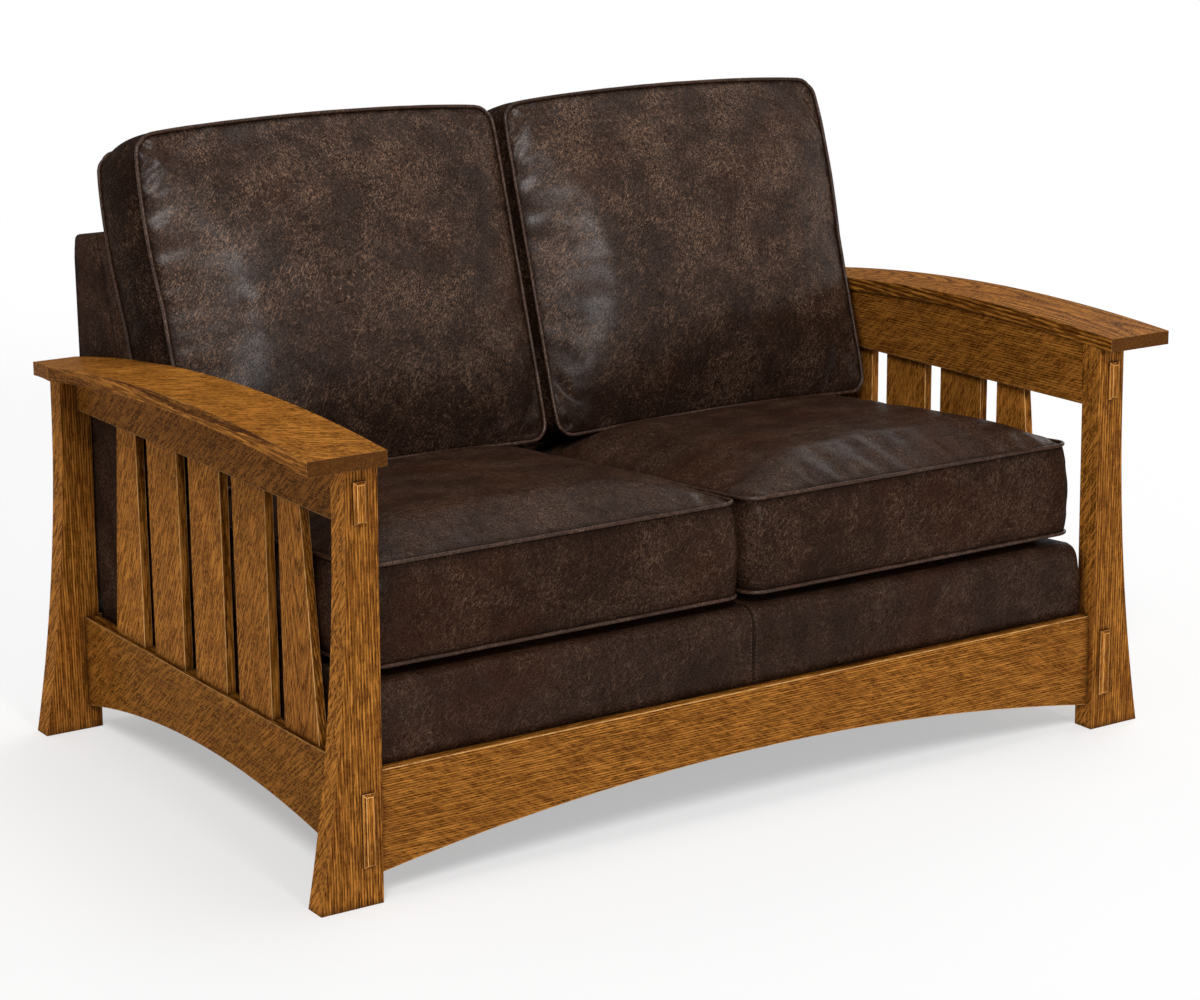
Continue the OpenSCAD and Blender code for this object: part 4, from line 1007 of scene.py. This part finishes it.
def welt_rings(name, form, material, body, node, seed):
    """The two welts of a cushion: cords covered with hide, sewn in round the rim of each panel."""
    curve = bpy.data.curves.new(name, "CURVE")
    curve.dimensions = "3D"
    curve.bevel_depth = WELT_R
    curve.bevel_resolution = 3
    line = [closer_to_ends(2 * k / WELT_STEPS - 1) for k in range(WELT_STEPS)]
    walk = ([(a, -1.0) for a in line] + [(1.0, a) for a in line]
            + [(-a, 1.0) for a in line] + [(-1.0, -a) for a in line])
    for w in (-1.0, 1.0):
        ring = curve.splines.new("POLY")
        ring.points.add(len(walk) - 1)
        ring.use_cyclic_u = True
        for point, (u, v) in zip(ring.points, walk):
            spot = Vector(form(u, v, w)) + WELT_SEAT * (form.outward(u, v) + form.lift * w)
            waver = noise.noise(spot * 23 + Vector((seed, 5, 0)))
            point.co = (*form.place(spot + form.lift * 0.0006 * waver), 1)
            point.radius = 1 + 0.10 * waver
    curve.materials.append(material)
    welts = bpy.data.objects.new(name, curve)
    scene.collection.objects.link(welts)
    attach(welts, body)
    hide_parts(node)


# Seat cushions: two loose box cushions, thick, crowned on top and lying flat on the sloping deck.
# The rear edge is pressed down a little by the back cushions.
class SeatForm(CushionForm):
    """A seat cushion: v runs to the rear and w up."""
    HEIGHT = 0.141
    DEPTH = 0.628
    CROWN = 0.040
    SAG = 0.016
    PRESS = 0.009
    PULL = 0.004
    INNER = 0.004
    OUTER = 0.63336
    # How much the top panel is painted lighter and waxed: wear, and a painted sheen
    RUB_AND_SHEEN = 0.5
    HALF_W = (OUTER - INNER) / 2 - WELT_REACH
    HALF_D = DEPTH / 2 - WELT_REACH
    MID_X = (OUTER + INNER) / 2
    TILT = DECK_PITCH
    FOOT = DECK_FRONT
    along = Vector((0, 1, 0))
    lift = Vector((0, 0, 1))

    def __call__(self, u, v, w):
        top = self.SAG + self.HEIGHT - WELT_OFF - self.PRESS * ((1 + v) / 2) ** 4
        foot = self.SAG + WELT_OFF
        top += (self.CROWN - WELT_OFF) * dome(u, v, 6)
        foot += (0.0003 - foot) * dome(u, v, 10)
        across, along, out = self.panel(u, v)
        belly = self.belly(u, v, w)
        return (across + belly * out.x, self.DEPTH / 2 + along + belly * min(0.0, out.y),
                between(foot, top, w))

    def darkening(self, v, w):
        """How far the hide is darkened: more towards the rear."""
        return 0.35 * max(0.0, v - 0.3)


for side, sign, seed in (("left", -1, 1.7), ("right", 1, 6.3)):
    body = "seat_cushion_" + side
    form = SeatForm(sign)
    cover_hide = hide("hide_seat_" + side, (seed, 0.4, 0.9), creases=0.35, polish=0.25)
    box_cushion(f"seat_{side}_cushion", form, (56, 56, 12), 1.0, cover_hide, body, seed,
                (f"seat_{side}_cushion_cover", f"seat_{side}_core"))
    # The welts are painted lighter than the cover: a painted highlight for the light they catch on top
    highlit_cord_hide = hide("hide_welt_seat_" + side, (seed, 3.4, 0.9), shade=1.5, creases=0.3, polish=1.6)
    welt_rings(f"seat_{side}_welting", form, highlit_cord_hide, body, f"seat_{side}_welts", seed)


# Back cushions: two loose box cushions leaning on the back, full and crowned in front, with bowed
# tops. Their upper halves swell out over the arms.
class BackForm(CushionForm):
    """A back cushion: v runs up the back and w forward."""
    HEIGHT = 0.540
    THICK = 0.146
    CROWN = 0.044
    SAG = 0.009
    FOOT_BOW = 0.009
    TOP_BOW = 0.011
    SIDE_BOW = 0.006
    PULL = 0.012
    INNER = 0.007
    OUTER = 0.6305
    # How much the front panel is painted lighter and waxed: wear, and a painted sheen
    RUB_AND_SHEEN = 1.1
    HALF_W = (OUTER - INNER) / 2 - WELT_REACH
    HALF_D = HEIGHT / 2
    MID_X = (OUTER + INNER) / 2
    TILT = RECLINE
    FOOT = (0.09461, 0.450)
    along = Vector((0, 0, 1))
    lift = Vector((0, -1, 0))

    def __call__(self, u, v, w):
        foot = WELT_OFF + self.FOOT_BOW * (1 - u * u)
        top = self.HEIGHT - WELT_OFF + self.TOP_BOW * (1 - u * u)
        front = WELT_OFF + (-self.CROWN - WELT_OFF) * dome(u, v, 3)
        rear = self.THICK - WELT_OFF + (self.SAG + WELT_OFF) * dome(u, v, 10)
        across, along, out = self.panel(u, v)
        belly = self.belly(u, v, w)
        rise = 0.5 + along / self.HEIGHT
        over_arm = self.SIDE_BOW * max(0.0, u) * math.sin(math.pi * max(0.0, v))
        return (across + belly * out.x + over_arm, between(rear, front, w),
                foot * (1 - rise) + top * rise + belly * max(0.0, out.y))

    def darkening(self, v, w):
        """How far the hide is darkened: on the front, painted shade that grows towards the foot, where
        less light reaches; elsewhere a little, evenly.
        """
        low = max(0.0, min(1.0, (-0.15 - v) / 0.85))
        return 0.85 * low if w > 0.9 else 0.20


for side, sign, seed in (("left", -1, 3.1), ("right", 1, 9.2)):
    body = "back_cushion_" + side
    form = BackForm(sign)
    cover_hide = hide("hide_back_cushion_" + side, (seed, 1.4, 2.9), shade=0.64)
    box_cushion(f"back_{side}_cushion", form, (56, 52, 12), -1.0, cover_hide, body, seed,
                (f"back_{side}_cushion_cover", f"back_{side}_core"))
    # The welts are painted lighter than the cover: a painted highlight for the light they catch on top
    highlit_cord_hide = hide("hide_welt_back_" + side, (seed, 5.4, 2.9), shade=1.5, creases=0.3, polish=1.6)
    welt_rings(f"back_{side}_welting", form, highlit_cord_hide, body, f"back_{side}_welts", seed)

# Zips: a dark woven tape with brass teeth, sewn into the hidden boxing of each cushion, so that its
# cover comes off the core.
tape, tree, shader = new_material("zip_tape")
teeth = wire(tree, "TexWave", {"Vector": wire(tree, "TexCoord").outputs["Object"], "Scale": 130.0},
             bands_direction="X").outputs["Fac"]
color = tinted(tree, spread(tree, teeth, 0.45, 0.6), (0.020, 0.014, 0.011), (0.075, 0.052, 0.030))
surface(tree, shader, color, 0.6, teeth, 0.5, 0.0004)
clad(tape, "seat_left_zip", "seat_right_zip", "back_left_zip", "back_right_zip")
